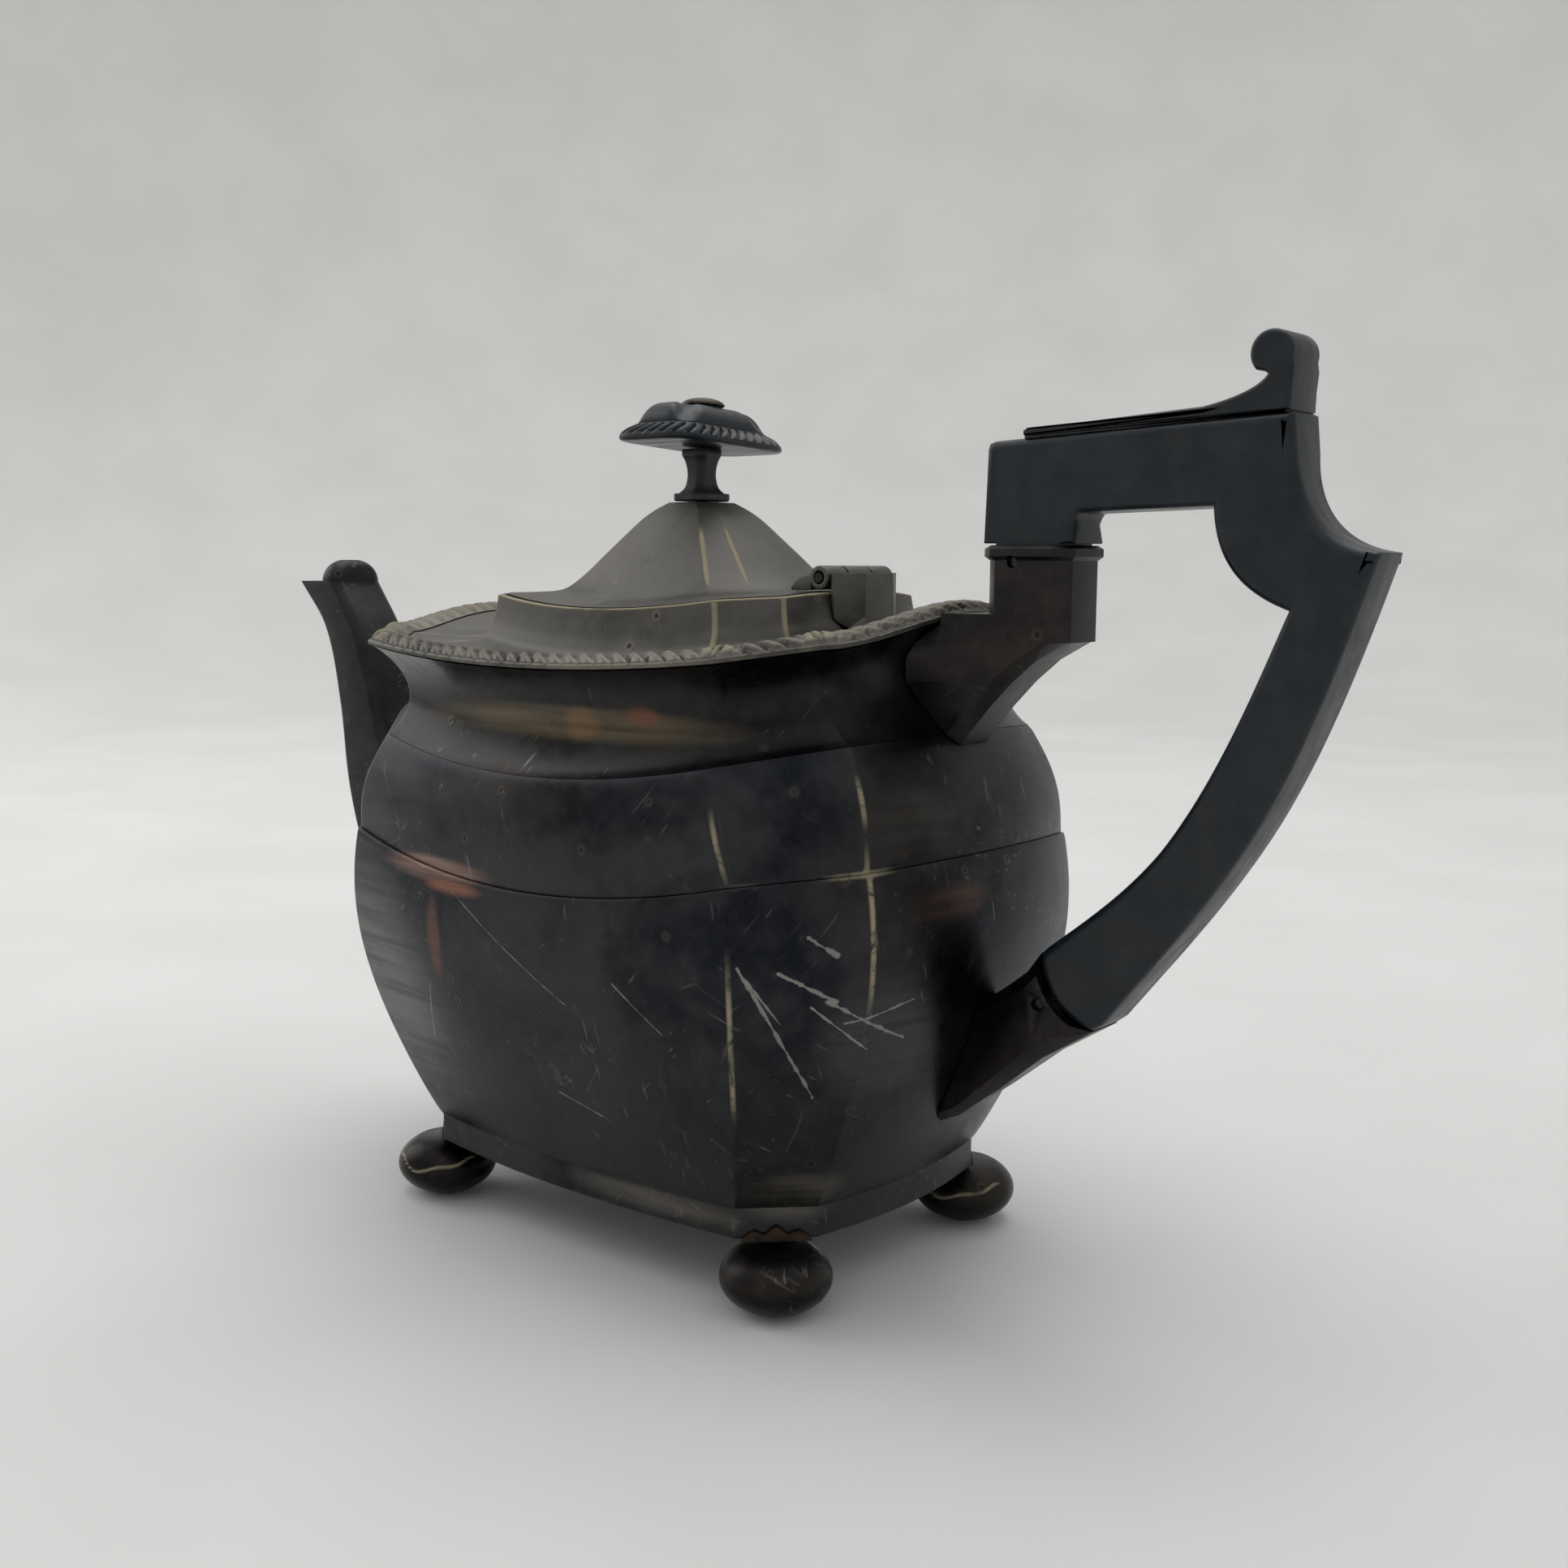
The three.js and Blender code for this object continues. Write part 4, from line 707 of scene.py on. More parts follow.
def make_border():
    """The gadroon border: slanted lobes all round, opening into ribbed shells at the corner creases."""
    outline, crease = ring(rim, 0.6, BORDER_STEPS)
    count = len(outline)
    walked = [0.0]
    for i in range(1, count):
        walked.append(walked[-1] + (outline[i] - outline[i - 1]).length)
    around = walked[-1] + (outline[0] - outline[-1]).length
    lobes = round(around / LOBE_PITCH)
    corners = [walked[i] for i in range(count) if crease[i] > 0.999]
    bm = bmesh.new()
    rows, masks, dirt = [], [], []
    for in_by, lift, strength in BORDER_PROFILE:
        base, _ = ring(inset(rim, in_by, lift), 0.6, BORDER_STEPS)
        row, mask, dark = [], [], []
        slant = 1.9 * (1 - math.exp(-in_by / 3))
        for i, p in enumerate(base):
            s = walked[i]
            near = min(min(abs(s - c), around - abs(s - c)) for c in corners)
            shell = smooth(1 - near / SHELL_REACH)
            wave = abs(math.sin(math.pi * (s / around * lobes + slant))) ** 0.6
            ribs = abs(math.cos(math.pi * near / (1.1 + 0.16 * in_by))) ** 0.8
            relief = lerp(wave, ribs, shell)
            drop = strength * (1 - relief) * lerp(1.45, 0.7, shell)
            swell = strength * shell * 0.45
            shift = strength * (1 - relief) * 0.55 * smooth((4.5 - in_by) / 3)
            inward = Vector((-p.x, -p.y, 0)).normalized()
            row.append(p + inward * shift + Vector((0, 0, swell * 0.6 - drop)))
            groove = smooth((0.45 - relief) / 0.45) * strength
            # pale on the lobe crests and along the bead's top edge: a painted highlight
            mask.append(max(relief * strength * lerp(0.5, 0.8, shell), 0.45 if lift == 0.9 else 0.0))
            dark.append(max(groove, 0.8 if lift == 1.1 else 0.0))
        rows.append(row)
        masks.append(mask)
        dirt.append(dark)
    loft(bm, rows, wrap=True, masks=masks, dirt=dirt)
    finish_mesh("gadroon_lobes", bm, "pot", ["gadroon_border"], "border silver", sharp=60)


# ---------------------------------------------------------------- feet


FOOT_SIZE = (13.0, 10.3, 3.0)  # height, radius, radius of the worn flat
FOOT_X, FOOT_Y = 46.1, 30.0
CORNERS = [
    (f"{end}_{side}", sx, sy)
    for end, sx in (("spout", -1), ("handle", 1))
    for side, sy in (("near", -1), ("far", 1))
]


def make_feet():
    height, radius, flat = FOOT_SIZE
    top, half = height - 1.3, height / 2
    start, stop = -math.acos(flat / radius), math.asin((top - half) / half)
    profile = [(0.4, 0.0)]
    for i in range(29):
        a = lerp(start, stop, i / 28)
        profile.append((radius * math.cos(a), 0.0 if i == 0 else half + half * math.sin(a)))
    profile.append((0.4, top))
    for corner, sx, sy in CORNERS:
        bm = bmesh.new()
        centre = Vector((sx * FOOT_X, sy * FOOT_Y, 0))
        lathe(bm, centre, profile, 56)
        pale = bm.verts.layers.float.get("crease")
        turn = random.uniform(0, 6.28)
        for v in bm.verts:
            rel = v.co - centre
            angle = math.atan2(rel.y, rel.x) + turn
            line = abs(rel.z - 8.2 - 0.9 * math.sin(3 * angle) - 0.4 * math.sin(7 * angle + 1))
            v[pale] = 0.8 * math.exp(-((line / 0.45) ** 2)) * smooth(math.sin(angle) + 0.4)
        finish_mesh(f"ball_{corner}", bm, "pot", [f"foot_{corner}"], "foot silver", sharp=70)
        make_foot_tab(corner, sx, sy)


def make_foot_tab(corner, sx, sy):
    """The small wavy solder tab that holds a foot to the base's canted corner."""
    out = Vector((sx, sy, 0)).normalized()
    across = Vector((-out.y, out.x, 0))
    middle = Vector((sx * FOOT_X, sy * FOOT_Y, 0)) + out * 0.3
    outline = []
    count = 36
    for i in range(count + 1):
        t = -1 + 2 * i / count
        top = 2.6 * (1 - t * t) ** 0.7 * (0.75 + 0.25 * math.cos(3 * math.pi * t)) + 0.25
        outline.append((6.6 * t, top))
    bm = bmesh.new()
    rows = []
    for depth in (0.0, 0.28, 0.4):
        start, narrow = middle + out * depth, 1 - depth * 0.1
        low = [start + across * (u * narrow) + Vector((0, 0, BAND_BOTTOM - 0.3)) for u, _ in outline]
        rise = BAND_BOTTOM - 0.3 - depth * 0.4
        high = [start + across * (u * narrow) + Vector((0, 0, rise + h)) for u, h in reversed(outline)]
        rows.append(low + high)
    loft(bm, rows if sx * sy < 0 else [list(reversed(r)) for r in rows])
    bmesh.ops.recalc_face_normals(bm, faces=bm.faces)
    finish_mesh(f"foot_tab_{corner}", bm, "pot", [], "tab metal")


# ---------------------------------------------------------------- spout


def make_spout():
    root = 72.0  # the end of the body at the belly crease
    lip, hood_top, wall = 128.6, 133.8, 1.2
    low_edge = [(32, 8), (42, -7), (52, -17.5), (64, -27.5), (80, -35.7), (100, -41.2), (118, -47.5)]
    high_edge = [(32, 14), (56, 10), (66, -2.5), (76, -12.2), (92, -22), (116, -32.2)]
    front = spline([(z, x - root) for z, x in low_edge + [(lip, -57.4)]])
    back = spline([(z, x - root) for z, x in high_edge + [(lip, -41.2)]])
    half = spline([(32, 13.5), (60, 12), (84, 9.5), (104, 7.8), (lip, 7)])

    def tube(bm, shrink, low, high, stations):
        rows = []
        for i in range(stations + 1):
            z = lerp(low, high, i / stations)
            x0 = front(z) + shrink
            x1 = max(back(z) - shrink, x0 + 1)
            rows.append(box_ring(x0, x1, half(z) - shrink, z, min(1.8, (x1 - x0) * 0.3), 0.8))
        loft(bm, rows)

    def hood(bm, shrink):
        x_front, x_back = front(lip) + 8.8, back(lip)
        length = x_back - x_front
        foot_half = half(lip) - shrink - 0.3
        rows = [box_ring(x_front + 0.2, x_back - shrink - 0.2, foot_half, lip - 2.5, 1.4, 0.6)]
        for i in range(13):
            a = math.pi / 2 * i / 12
            inwards = 0.42 * (1 - math.cos(a)) ** 1.3
            wide = 0.2 + 0.8 * math.cos(a) ** 0.75
            z = lip + (hood_top - lip - shrink) * math.sin(a) ** 1.1
            y = max(half(lip) * wide - shrink, 0.4)
            x0 = x_front + length * inwards - (1.5 if shrink else 0)
            x1 = x_back - length * inwards - shrink
            rows.append(box_ring(x0, x1, y, z, min(1.8, y * 0.55), min(1.2, y * 0.5)))
        loft(bm, rows)

    def part(fill):
        bm = bmesh.new()
        fill(bm)
        place_all(bm)
        return scratch_object(bm)

    body = part(lambda bm: tube(bm, 0.05, 40, lip, 60))
    tools = [
        (part(lambda bm: hood(bm, 0)), "UNION"),
        (part(lambda bm: tube(bm, wall, 60, lip + 0.6, 40)), "DIFFERENCE"),
        (part(lambda bm: hood(bm, wall)), "DIFFERENCE"),
    ]
    for tool, operation in tools:
        cut = body.modifiers.new("cut", "BOOLEAN")
        cut.operation = operation
        cut.solver = "EXACT"
        cut.object = tool
    bm = bmesh.new()
    bm.from_mesh(result_of(body))
    for obj in [body] + [tool for tool, _ in tools]:
        bpy.data.objects.remove(obj)
    bmesh.ops.remove_doubles(bm, verts=bm.verts, dist=0.00001)
    mesh = mesh_of(bm, "spout_shell")
    finish_object("spout_shell", mesh, "pot", ["spout", "spout_hood"], "spout silver", sharp=48)


# ---------------------------------------------------------------- wood

SOCKET_X = 79.8
SOCKET_TOP = 137.1


def beside_socket(x, z):
    """A point in the plane of X and Z, with X in mm from the upper socket's middle."""
    return Vector((SOCKET_X + x, z))


def bezier(p0, p1, p2, p3, count):
    made = []
    for i in range(1, count + 1):
        t = i / count
        made.append(p0 * (1 - t) ** 3 + p1 * 3 * t * (1 - t) ** 2 + p2 * 3 * t * t * (1 - t) + p3 * t ** 3)
    return made


def flat_cap(bm, first, count):
    """Closes a row of points lying in a plane of X and Z with triangles."""
    bm.verts.ensure_lookup_table()
    verts = bm.verts[first:first + count]
    for triangle in tessellate_polygon([[Vector((v.co.x, v.co.z, 0)) for v in verts]]):
        bm.faces.new([verts[i] for i in triangle])


def rounded_slab(bm, outline, half, edge, steps=5, widths=None):
    """A flat board from its counter-clockwise outline in X and Z, with its long edges rounded."""
    count = len(outline)
    normals = []
    for i in range(count):
        before = (outline[i] - outline[i - 1]).normalized()
        after = (outline[(i + 1) % count] - outline[i]).normalized()
        n0, n1 = Vector((before.y, -before.x)), Vector((after.y, -after.x))
        both = (n0 + n1).normalized() if (n0 + n1).length > 1e-6 else n0
        normals.append(both / max(both.dot(n1), 0.45))
    rows, masks = [], []
    turns = [-0.25] + [k / steps for k in range(steps + 1)]
    for side, order in ((1, turns), (-1, reversed(turns))):
        for k in order:
            a = math.pi / 2 * max(k, 0)
            row = []
            for i, p in enumerate(outline):
                e = edge * (widths[i] if widths else 1.0)
                q = p - normals[i] * (e * (1 - math.sin(a)) + (0.3 if k < 0 else 0))
                row.append(Vector((q.x, side * (half - e * (1 - math.cos(a))), q.y)))
            rows.append(row)
            masks.append([0.12] * count)
    loft(bm, rows, masks=masks, caps=False)
    flat_cap(bm, 0, count)
    flat_cap(bm, count * (len(rows) - 1), count)
    bmesh.ops.recalc_face_normals(bm, faces=bm.faces)


def grip_end():
    """The grip's lower end: the arc that sits in the lower socket's mouth."""
    low, high = Vector((94.6, 55.0)), Vector((84.0, 67.2))
    middle = (low + high) / 2
    along = (high - low).normalized()
    out = Vector((along.y, -along.x))
    half = (high - low).length / 2
    sag = 3.0
    radius = (half ** 2 + sag ** 2) / (2 * sag)
    centre = middle + out * (radius - sag)
    radius -= 0.3
    reach = math.asin((half - 0.15) / radius)
    points = []
    for i in range(15):
        a = lerp(reach, -reach, i / 14)
        points.append(centre + (-out * math.cos(a) + along * math.sin(a)) * radius)
    return points


def make_handle():
    v = beside_socket
    end = grip_end()
    foot = SOCKET_TOP + 0.3
    leg = [(-6.4, 132.5), (6.4, 132.5), (6.4, foot), (8.8, foot), (8.8, 140.6), (8.85, 141.7), (9.2, 142.3)]
    outline = [v(*p) for p in leg] + [v(10.0, 142.45), v(33.3, 143.1)]
    widths = [0.3, 0.3, 0.3, 0.9, 1.9, 1.2] + [1.0] * 3
    outline += bezier(v(33.3, 143.1), v(33.8, 136), v(36.8, 130.2), v(46.4, 127), 22)
    outline += bezier(v(46.4, 127), v(42, 116.5), v(36, 100.5), v(26.4, 87.6), 26)
    outline += bezier(v(26.4, 87.6), v(20, 79.5), v(12, 73.5), end[0] + Vector((1.4, 1.4)), 16)
    outline += end
    outline += bezier(end[-1] + Vector((0.9, 0.2)), v(23.5, 65.5), v(35.5, 79), v(43.8, 94.2), 26)
    outline += bezier(v(43.8, 94.2), v(50.5, 106.5), v(55.5, 121), v(60.2, 135.6), 26)
    outline += [v(60.3, 136.0), v(59.9, 136.1)]
    widths += [1.0] * (len(outline) - len(widths))
    hollow = bezier(v(59.9, 136.1), v(52.5, 137), v(47.2, 142), v(46.7, 151), 26)
    top = [(46.05, 156.9), (45.6, 157.15), (-7.2, 154.72), (-8.4, 154.35), (-8.75, 153.4)]
    outline += hollow + [v(*p) for p in top] + [v(-8.8, foot), v(-6.4, foot)]
    widths += [1.0 + 0.7 * math.sin(math.pi * i / len(hollow)) for i in range(len(hollow))]
    widths += [1.0] * 5 + [0.3, 0.3]
    bm = bmesh.new()
    rounded_slab(bm, outline, 5.5, 1.5, 6, widths)
    finish_mesh("grip_and_arm", bm, "pot", ["handle"], "ebonised wood", sharp=42)


def make_thumb_rest():
    arm_end = 46.0
    v = beside_socket
    centre = v(arm_end - 3.9, 166.1)
    outline = [v(-1.8, 155.5), v(arm_end - 0.6, 157.4), v(arm_end - 0.55, 160.5), v(arm_end - 0.25, 163.5)]
    for i in range(29):
        a = lerp(-0.3, math.pi * 1.25, i / 28)
        outline.append(centre + Vector((math.cos(a), math.sin(a))) * 3.55)
    outline.append(v(arm_end - 5.0, 163.35))
    sweep = [(4.2, 163.4), (5.4, 161), (10, 159.6), (15, 158.6)]
    outline += bezier(*(v(arm_end - back, z) for back, z in sweep), 14)
    outline += [v(-1.6, 156.45), v(-1.8, 156.3)]
    bm = bmesh.new()
    rounded_slab(bm, outline, 5.2, 0.8, 4)
    finish_mesh("thumb_scroll", bm, "pot", ["thumb_rest"], "ebonised wood", sharp=42)
    glue = bmesh.new()
    strip = [v(-1.4, 154.9), v(arm_end - 1.0, 157.1), v(arm_end - 1.0, 157.45), v(-1.4, 155.6)]
    rounded_slab(glue, strip, 4.9, 0.1, 2)
    for vert in glue.verts:
        vert[glue.verts.layers.float["crease"]] = 1.0
    finish_mesh("glue_line", glue, "pot", [], "stem wood")


# ---------------------------------------------------------------- lid and finial

LID_TOP = 145.6
lid_brim = inset(collar_top, 1.8, 0.2)
lid_crown = level(x=5.6, y=5.6, cant=2, z=LID_TOP, spout_cant_rise=0, spout_end_rise=0)
# (share of the way from the crown to the brim, height)
LID_PROFILE = [
    (0.09, 144.0), (0.17, 142.1), (0.37, 136), (0.53, 131), (0.65, 128.3), (0.82, 127.6), (1, 127.4),
]
lid_rise = spline([(0, LID_TOP)] + LID_PROFILE)


def lid_level(s, in_by=0.0, drop=0.0):
    made = inset(mix_levels(lid_crown, lid_brim, s), in_by)
    made["z"] = lid_rise(s) - drop
    for key in ("dip", "cant_rise", "end_rise"):
        made[key] = lid_brim[key] * s * s
    made["spout_cant_rise"] = made["spout_end_rise"] = 0.0
    return made


def make_lid():
    bm = bmesh.new()
    count = 46
    rows, masks = [], []
    for i in range(count, -1, -1):
        s = i / count
        points, crease = ring(lid_level(s), 0.5)
        # pale lines on the dome's creases, kept to their middle stretch, and along the brim: painted
        # highlights
        strength = smooth((s - 0.12) / 0.2) * smooth((0.72 - s) / 0.25)
        rows.append(points)
        masks.append([c * strength * 0.9 + (0.5 if i == count else 0.0) for c in crease])
    middle = [Vector((p.x * 0.02, p.y * 0.02, LID_TOP)) for p in rows[-1]]
    rows.append(middle)
    masks.append([0.0] * len(middle))
    for i in range(count + 1):
        s = i / count
        points, _ = ring(lid_level(s, 0.75 if i < count else 0.15, 1.1 if s < 0.75 else 0.8), 0.5)
        rows.append(points)
        masks.append([0.0] * len(points))
    loft(bm, rows, masks=masks, caps=False)
    bridge_open_ends(bm, rows)
    relieve_hinge(bm)
    finish_mesh("lid_shell", bm, "lid", ["lid_dome"], "lid silver")


def bridge_open_ends(bm, rows):
    """Joins the first and last rows of a loft that was left open."""
    count = len(rows[0])
    bm.verts.ensure_lookup_table()
    first = bm.verts[:count]
    last = bm.verts[len(bm.verts) - count:]
    for j in range(count):
        k = (j + 1) % count
        bm.faces.new((last[j], last[k], first[k], first[j]))


HINGE = Vector((38.3, 0, 131.2))
HINGE_REACH, HINGE_HALF_LENGTH = 2.75, 11.2


def relieve_hinge(bm):
    """Presses the lid's brim down under the hinge barrel, so that nothing meets as it turns."""
    for v in bm.verts:
        rel = Vector((v.co.x - HINGE.x, v.co.z - HINGE.z))
        if abs(v.co.y) < HINGE_HALF_LENGTH and 1e-4 < rel.length < HINGE_REACH:
            moved = rel.normalized() * HINGE_REACH
            v.co.x, v.co.z = HINGE.x + moved.x, HINGE.z - abs(moved.y)


STEM_STEPS = (side_steps(5, 1.2), side_steps(3, 1.0), side_steps(5, 1.2))
# (half length, half width, height above the stem's foot)
STEM_PLATE = [(4.3, 5.0, -1.5), (4.6, 5.3, -1.25), (4.6, 5.3, -0.15), (4.45, 5.1, 0)]
STEM_WAIST = [
    (3.7, 4.4, 0.02), (2.7, 3.3, 1.2), (2.3, 2.8, 3), (2.3, 2.8, 4.6), (2.6, 3.2, 6.3), (3.05, 3.7, 7.3),
]
STEM_HEAD = [(3.15, 3.8, 7.5), (3.2, 3.85, 8.5), (3.05, 3.7, 8.7)]
STEM_HEIGHT, KNOB_HEIGHT, GAP = 8.7, 7.9, 0.3
# (radius, height above the button's foot)
BUTTON = [(4.0, 0), (4.3, 0.15), (4.25, 0.45), (3.9, 0.8), (3.2, 1.15), (2.2, 1.42), (1.1, 1.55), (0.2, 1.6)]


def make_finial():
    stem = LID_TOP + GAP + 1.5
    knob = stem + STEM_HEIGHT + GAP
    plate, waist, head = (
        [level(x=x, y=y, cant=min(x, y) * 0.45, z=stem + z) for x, y, z in part]
        for part in (STEM_PLATE, STEM_WAIST, STEM_HEAD)
    )
    levels = plate + spline_levels(waist, 22) + head
    bm = bmesh.new()
    rows, masks = [], []
    for s in levels:
        points, _ = ring(s, 0.7, STEM_STEPS)
        rows.append(points)
        masks.append([0.1] * len(points))
    loft(bm, rows, masks=masks)
    finish_mesh("finial_column", bm, "lid", ["finial_stem"], "stem wood", sharp=45)
    make_knob(knob)
    top = knob + KNOB_HEIGHT + GAP
    bm = bmesh.new()
    shank = [(0.2, 140.0), (1.2, 140.0), (1.4, 140.3), (1.4, top)]
    lathe(bm, Vector((0, 0, 0)), shank + [(r, top + z) for r, z in BUTTON], 48)
    lean(bm, knob, lambda v: v.co.z > top - 0.1)
    finish_mesh("finial_button", bm, "lid", ["finial_screw"], "button metal", sharp=50)


KNOB_LEAN = 3.0  # degrees


def lean(bm, pivot, chosen):
    """Tips the chosen points about the knob's foot, as the worn finial leans."""
    turn = Matrix.Rotation(math.radians(-KNOB_LEAN), 4, "X")
    for v in bm.verts:
        if chosen(v):
            rel = turn @ Vector((v.co.x, v.co.y, v.co.z - pivot))
            v.co = Vector((rel.x, rel.y, rel.z + pivot))


KNOB_X, KNOB_Y = 10.3, 16.5
KNOB_FOOT = [(7.0, 0.0), (1.4, 0.05), (0.35, 0.2), (0.05, 0.5), (0.0, 0.9), (0.1, 1.3)]  # (inset, height)
SKIRT_LOBES = 34
PLAN_POINTS, PLAN_POWER = 4000, 4.6


def knob_plan(count):
    """The knob's rounded oblong plan, as evenly spaced unit points and their shares of the way round."""
    fine = []
    for i in range(PLAN_POINTS):
        a = 2 * math.pi * i / PLAN_POINTS
        c, s = math.cos(a), math.sin(a)
        r = (abs(c) ** PLAN_POWER + abs(s) ** PLAN_POWER) ** (-1 / PLAN_POWER)
        fine.append(Vector((r * c, r * s)))
    walked = [0.0]
    for i in range(1, PLAN_POINTS + 1):
        step = fine[i % PLAN_POINTS] - fine[i - 1]
        walked.append(walked[-1] + math.hypot(step.x * KNOB_X, step.y * KNOB_Y))
    plan, at = [], 0
    for j in range(count):
        goal = walked[-1] * j / count
        while walked[at + 1] < goal:
            at += 1
        share = (goal - walked[at]) / (walked[at + 1] - walked[at])
        plan.append(fine[at].lerp(fine[(at + 1) % PLAN_POINTS], share))
    return plan


def make_knob(foot):
    """An oblong cushion: a skirt of slanted gadroons under a dome of four swelling lobes."""
    count = SKIRT_LOBES * 12
    plan = knob_plan(count)
    rows, masks = [], []

    def row(in_by, height, shaper=None):
        made, values = [], []
        for j, unit in enumerate(plan):
            sink, value = shaper(j / count, unit) if shaper else (0.0, 0.1)
            x, y = max(KNOB_X - in_by - sink * 0.75, 0.3), max(KNOB_Y - in_by - sink * 0.75, 0.3)
            made.append(Vector((unit.x * x, unit.y * y, foot + height - sink * 0.45)))
            values.append(value)
        rows.append(made)
        masks.append(values)

    for in_by, height in KNOB_FOOT:
        row(in_by, height)
    for i in range(1, 12):
        f = i / 11

        def gadroon(share, unit):
            wave = abs(math.sin(math.pi * (share * SKIRT_LOBES - 0.95 * f))) ** 0.62
            strength = min(math.sin(math.pi * min(f + 0.06, 1)) * 2.4, 1)
            return 1.25 * strength * (1 - wave), 0.1 + 0.25 * (1 - wave) * strength

        row(0.1 + 2.75 * f ** 1.3, 1.3 + 2.3 * f ** 0.8, gadroon)
    row(3.15, 3.5)
    row(3.05, 3.8)
    for i in range(1, 17):
        turn = math.pi / 2 * i / 16

        def lobed(share, unit):
            corner = min(abs(unit.x), abs(unit.y)) / max(abs(unit.x), abs(unit.y))
            facet = smooth((corner - 0.5) / 0.45)
            return 2.5 * facet * math.sin(turn) * math.cos(turn * 0.6), 0.08

        row(3.0 + 4.3 * (1 - math.cos(turn)), 3.8 + 4.1 * math.sin(turn) ** 1.2, lobed)
    row(9.0, KNOB_HEIGHT)
    row(10.0, KNOB_HEIGHT)
    bm = bmesh.new()
    loft(bm, rows, masks=masks)
    lean(bm, foot, lambda v: True)
    finish_mesh("finial_cushion", bm, "lid", ["finial_knob"], "ebonised wood", sharp=50)


# ---------------------------------------------------------------- sockets, hinge, small parts


def make_metalwork():
    for part in ("upper", "lower"):
        node = f"{part}_handle_socket"
        refined(f"{part}_socket_casting", node, "pot", "socket silver", 0.9, 3)
    refined("hinge_block_casting", "hinge_block", "pot", "lid silver", 0.45, 3)
    refined("lid_leaf_casting", "lid_hinge_leaf", "lid", "lid silver", 0.2, 2)
    for side in ("near", "far"):
        refined(f"knuckle_{side}", f"hinge_knuckle_{side}", "pot", "lid silver", 0.25, 2, 30)


# CAD pieces shown as they are, and what they are made of
CARRIED = {
    "base_plate": "body silver",
    "lid_bezel": "lid silver",
    "hinge_pin": "pin metal",
    "upper_handle_pin": "pin metal",
    "lower_handle_pin": "pin metal",
    "finial_washer": "button metal",
    "finial_nut": "button metal",
    **{f"foot_seat_{corner}": "foot silver" for corner, _, _ in CORNERS},
}


def dress_carried():
    for node, material in CARRIED.items():
        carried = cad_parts[node].data.materials
        carried.clear()
        carried.append(MATERIALS[material])


# ---------------------------------------------------------------- stage, light and camera


FLOOR_SHAPE = (1.1, 0.9, 1.5)  # flat radius, radius of the curve up to the wall, wall height, metres
FLOOR_SEGMENTS = 96


def make_stage():
    """A pale round floor that curves up into a wall."""
    look = Look("pale floor")
    colour = look.mix(look.band(look.noise(9, 3, 0.5), 0.3, 0.7), (0.71, 0.705, 0.69), (0.75, 0.745, 0.73))
    look.done(colour, 0.75, 0.0, look.bump(look.noise(300, 3, 0.5), 0.03, 0.1), specular=0.2)
    flat, curve, height = FLOOR_SHAPE
    profile = [(0.02, 0.0), (0.4, 0.0), (0.8, 0.0)]
    for k in range(25):
        a = math.pi / 2 * k / 24
        profile.append((flat + curve * math.sin(a), curve * (1 - math.cos(a))))
    profile.append((flat + curve, height))
    bm = bmesh.new()
    lathe(bm, Vector((0, 0, 0)), profile, FLOOR_SEGMENTS, caps=False)
    bm.verts.ensure_lookup_table()
    bm.faces.new(bm.verts[:FLOOR_SEGMENTS])
    bmesh.ops.recalc_face_normals(bm, faces=bm.faces)
    mesh = mesh_of(bm, "floor")
    mesh.shade_smooth()
    floor = bpy.data.objects.new("floor", mesh)
    mesh.materials.append(MATERIALS["pale floor"])
    bpy.context.scene.collection.objects.link(floor)


ROOM_STRENGTH, ROOM_COLOUR = 0.75, (0.98, 0.99, 1.0, 1)
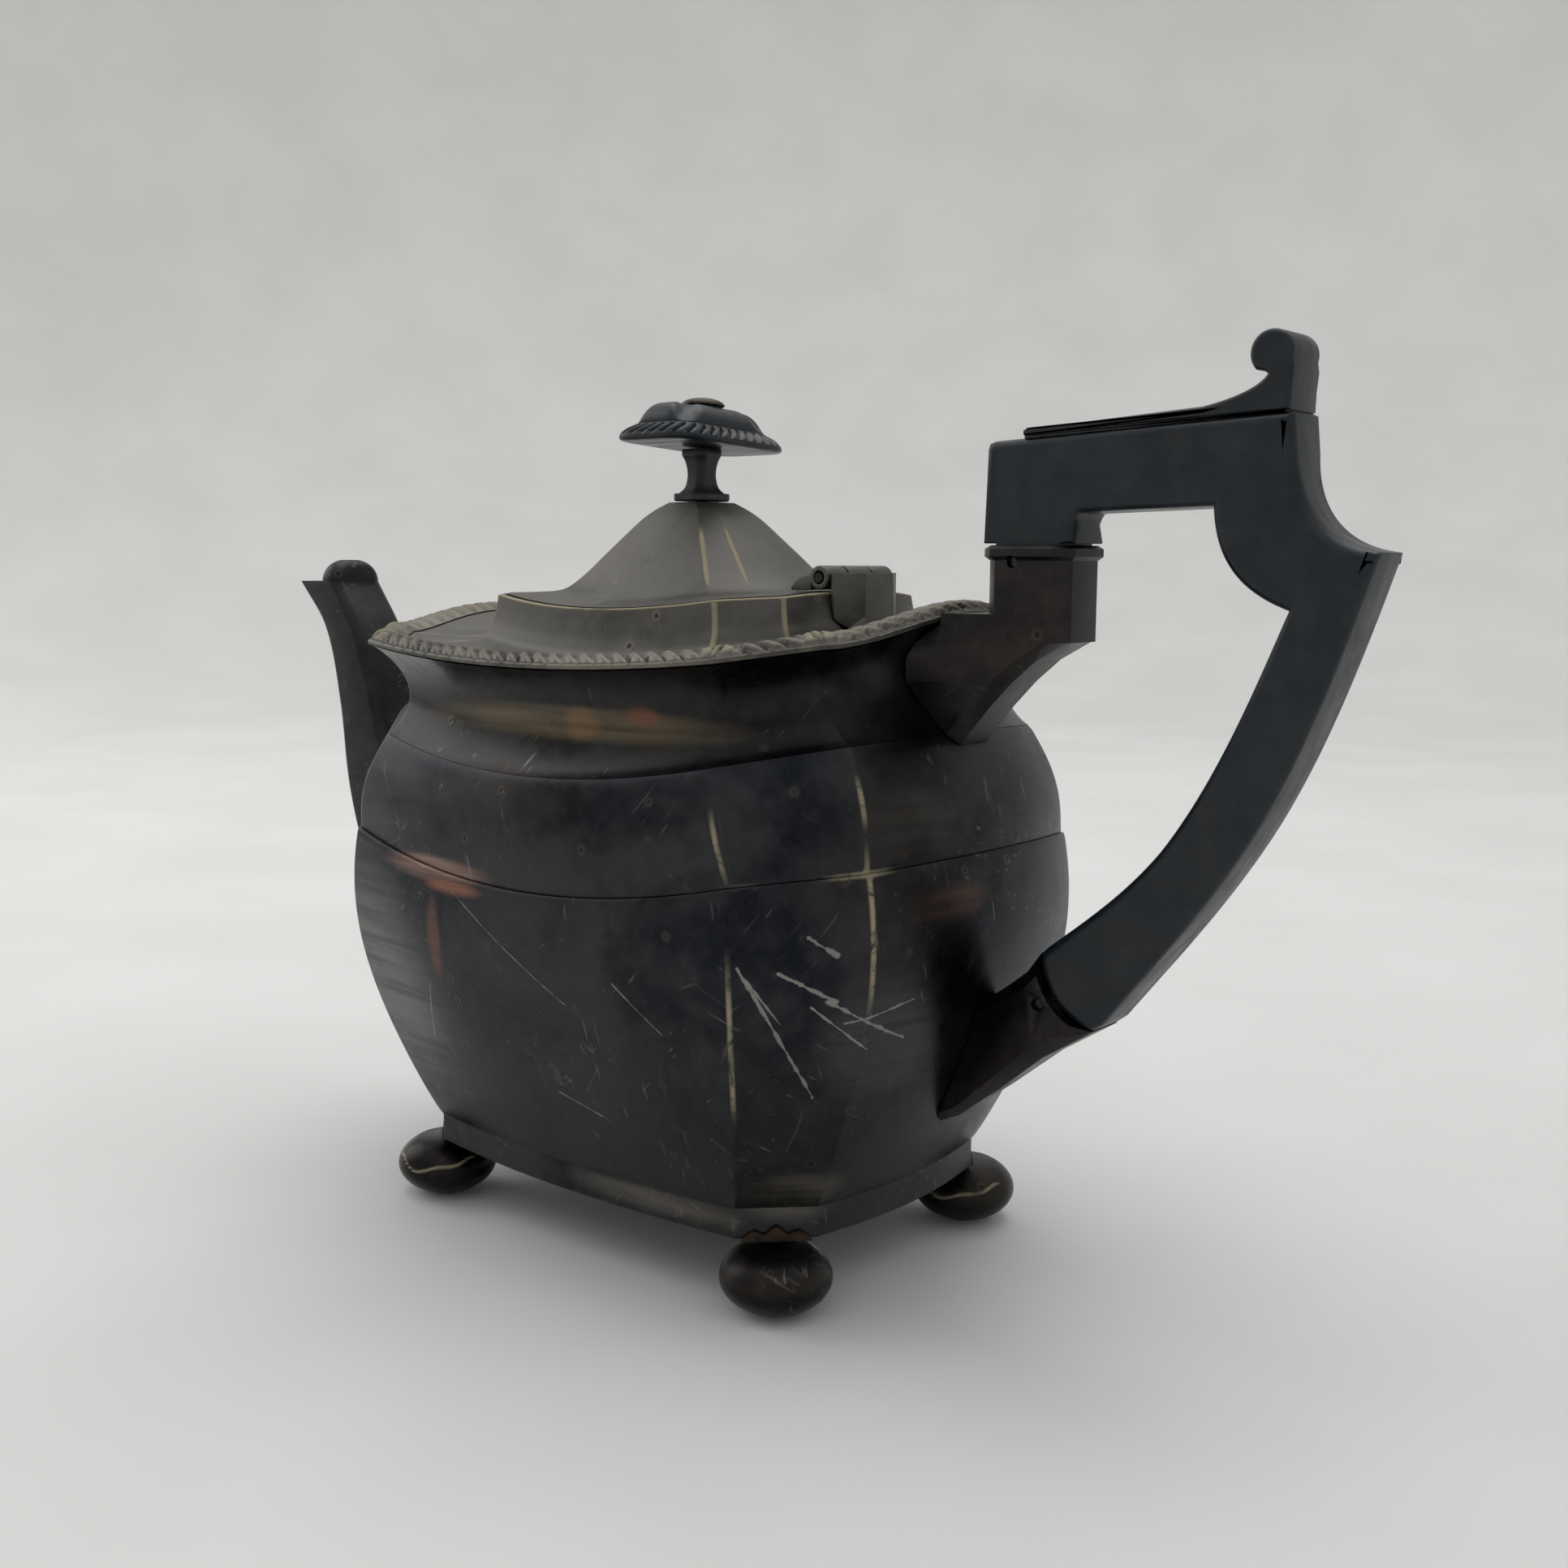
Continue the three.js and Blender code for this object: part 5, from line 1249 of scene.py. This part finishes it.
# (name, place, what it points at, size, power), metres and watts
LAMPS = [
    ("top", (-0.2, 0.3, 1.4), (0, 0, 0.05), (1.2, 1.2), 7),
    ("left", (-1.25, -0.3, 0.75), (0, 0, 0.07), (0.8, 0.9), 4),
]


def make_light():
    world = bpy.data.worlds.new("soft room")
    world.use_nodes = True
    bpy.context.scene.world = world
    background = world.node_tree.nodes["Background"]
    background.inputs["Strength"].default_value = ROOM_STRENGTH
    background.inputs["Color"].default_value = ROOM_COLOUR
    for name, place, aim, size, power in LAMPS:
        data = bpy.data.lights.new(name, "AREA")
        data.shape = "RECTANGLE"
        data.size, data.size_y = size
        data.energy = power
        lamp = bpy.data.objects.new(name, data)
        lamp.location = place
        lamp.rotation_euler = (Vector(aim) - Vector(place)).to_track_quat("-Z", "Y").to_euler()
        bpy.context.scene.collection.objects.link(lamp)


CAMERA_TURN, CAMERA_DIP, CAMERA_ROLL = 39.96, 7.34, 0.41  # degrees
CAMERA_PLACE = (236.94, -256.47, 133.89)
CAMERA_LENS = 39.47


def make_camera():
    turn, dip, roll = (math.radians(v) for v in (CAMERA_TURN, CAMERA_DIP, CAMERA_ROLL))
    forward = Vector((-math.sin(turn) * math.cos(dip), math.cos(turn) * math.cos(dip), -math.sin(dip)))
    right = Vector((math.cos(turn), math.sin(turn), 0))
    up = right.cross(forward)
    right, up = right * math.cos(roll) + up * math.sin(roll), up * math.cos(roll) - right * math.sin(roll)
    data = bpy.data.cameras.new("camera")
    data.lens = CAMERA_LENS
    data.sensor_width = 36
    data.clip_start = 0.01
    camera = bpy.data.objects.new("camera", data)
    turned = Matrix((right, up, -forward)).transposed().to_4x4()
    camera.matrix_world = Matrix.Translation(placed(*CAMERA_PLACE)) @ turned
    bpy.context.scene.collection.objects.link(camera)
    bpy.context.scene.camera = camera


make_body()
make_cover()
make_border()
make_feet()
make_spout()
make_handle()
make_thumb_rest()
make_lid()
make_finial()
make_metalwork()
dress_carried()
make_stage()
make_light()
make_camera()

scene = bpy.context.scene
scene.view_settings.view_transform = "Standard"
scene.cycles.max_bounces = 6
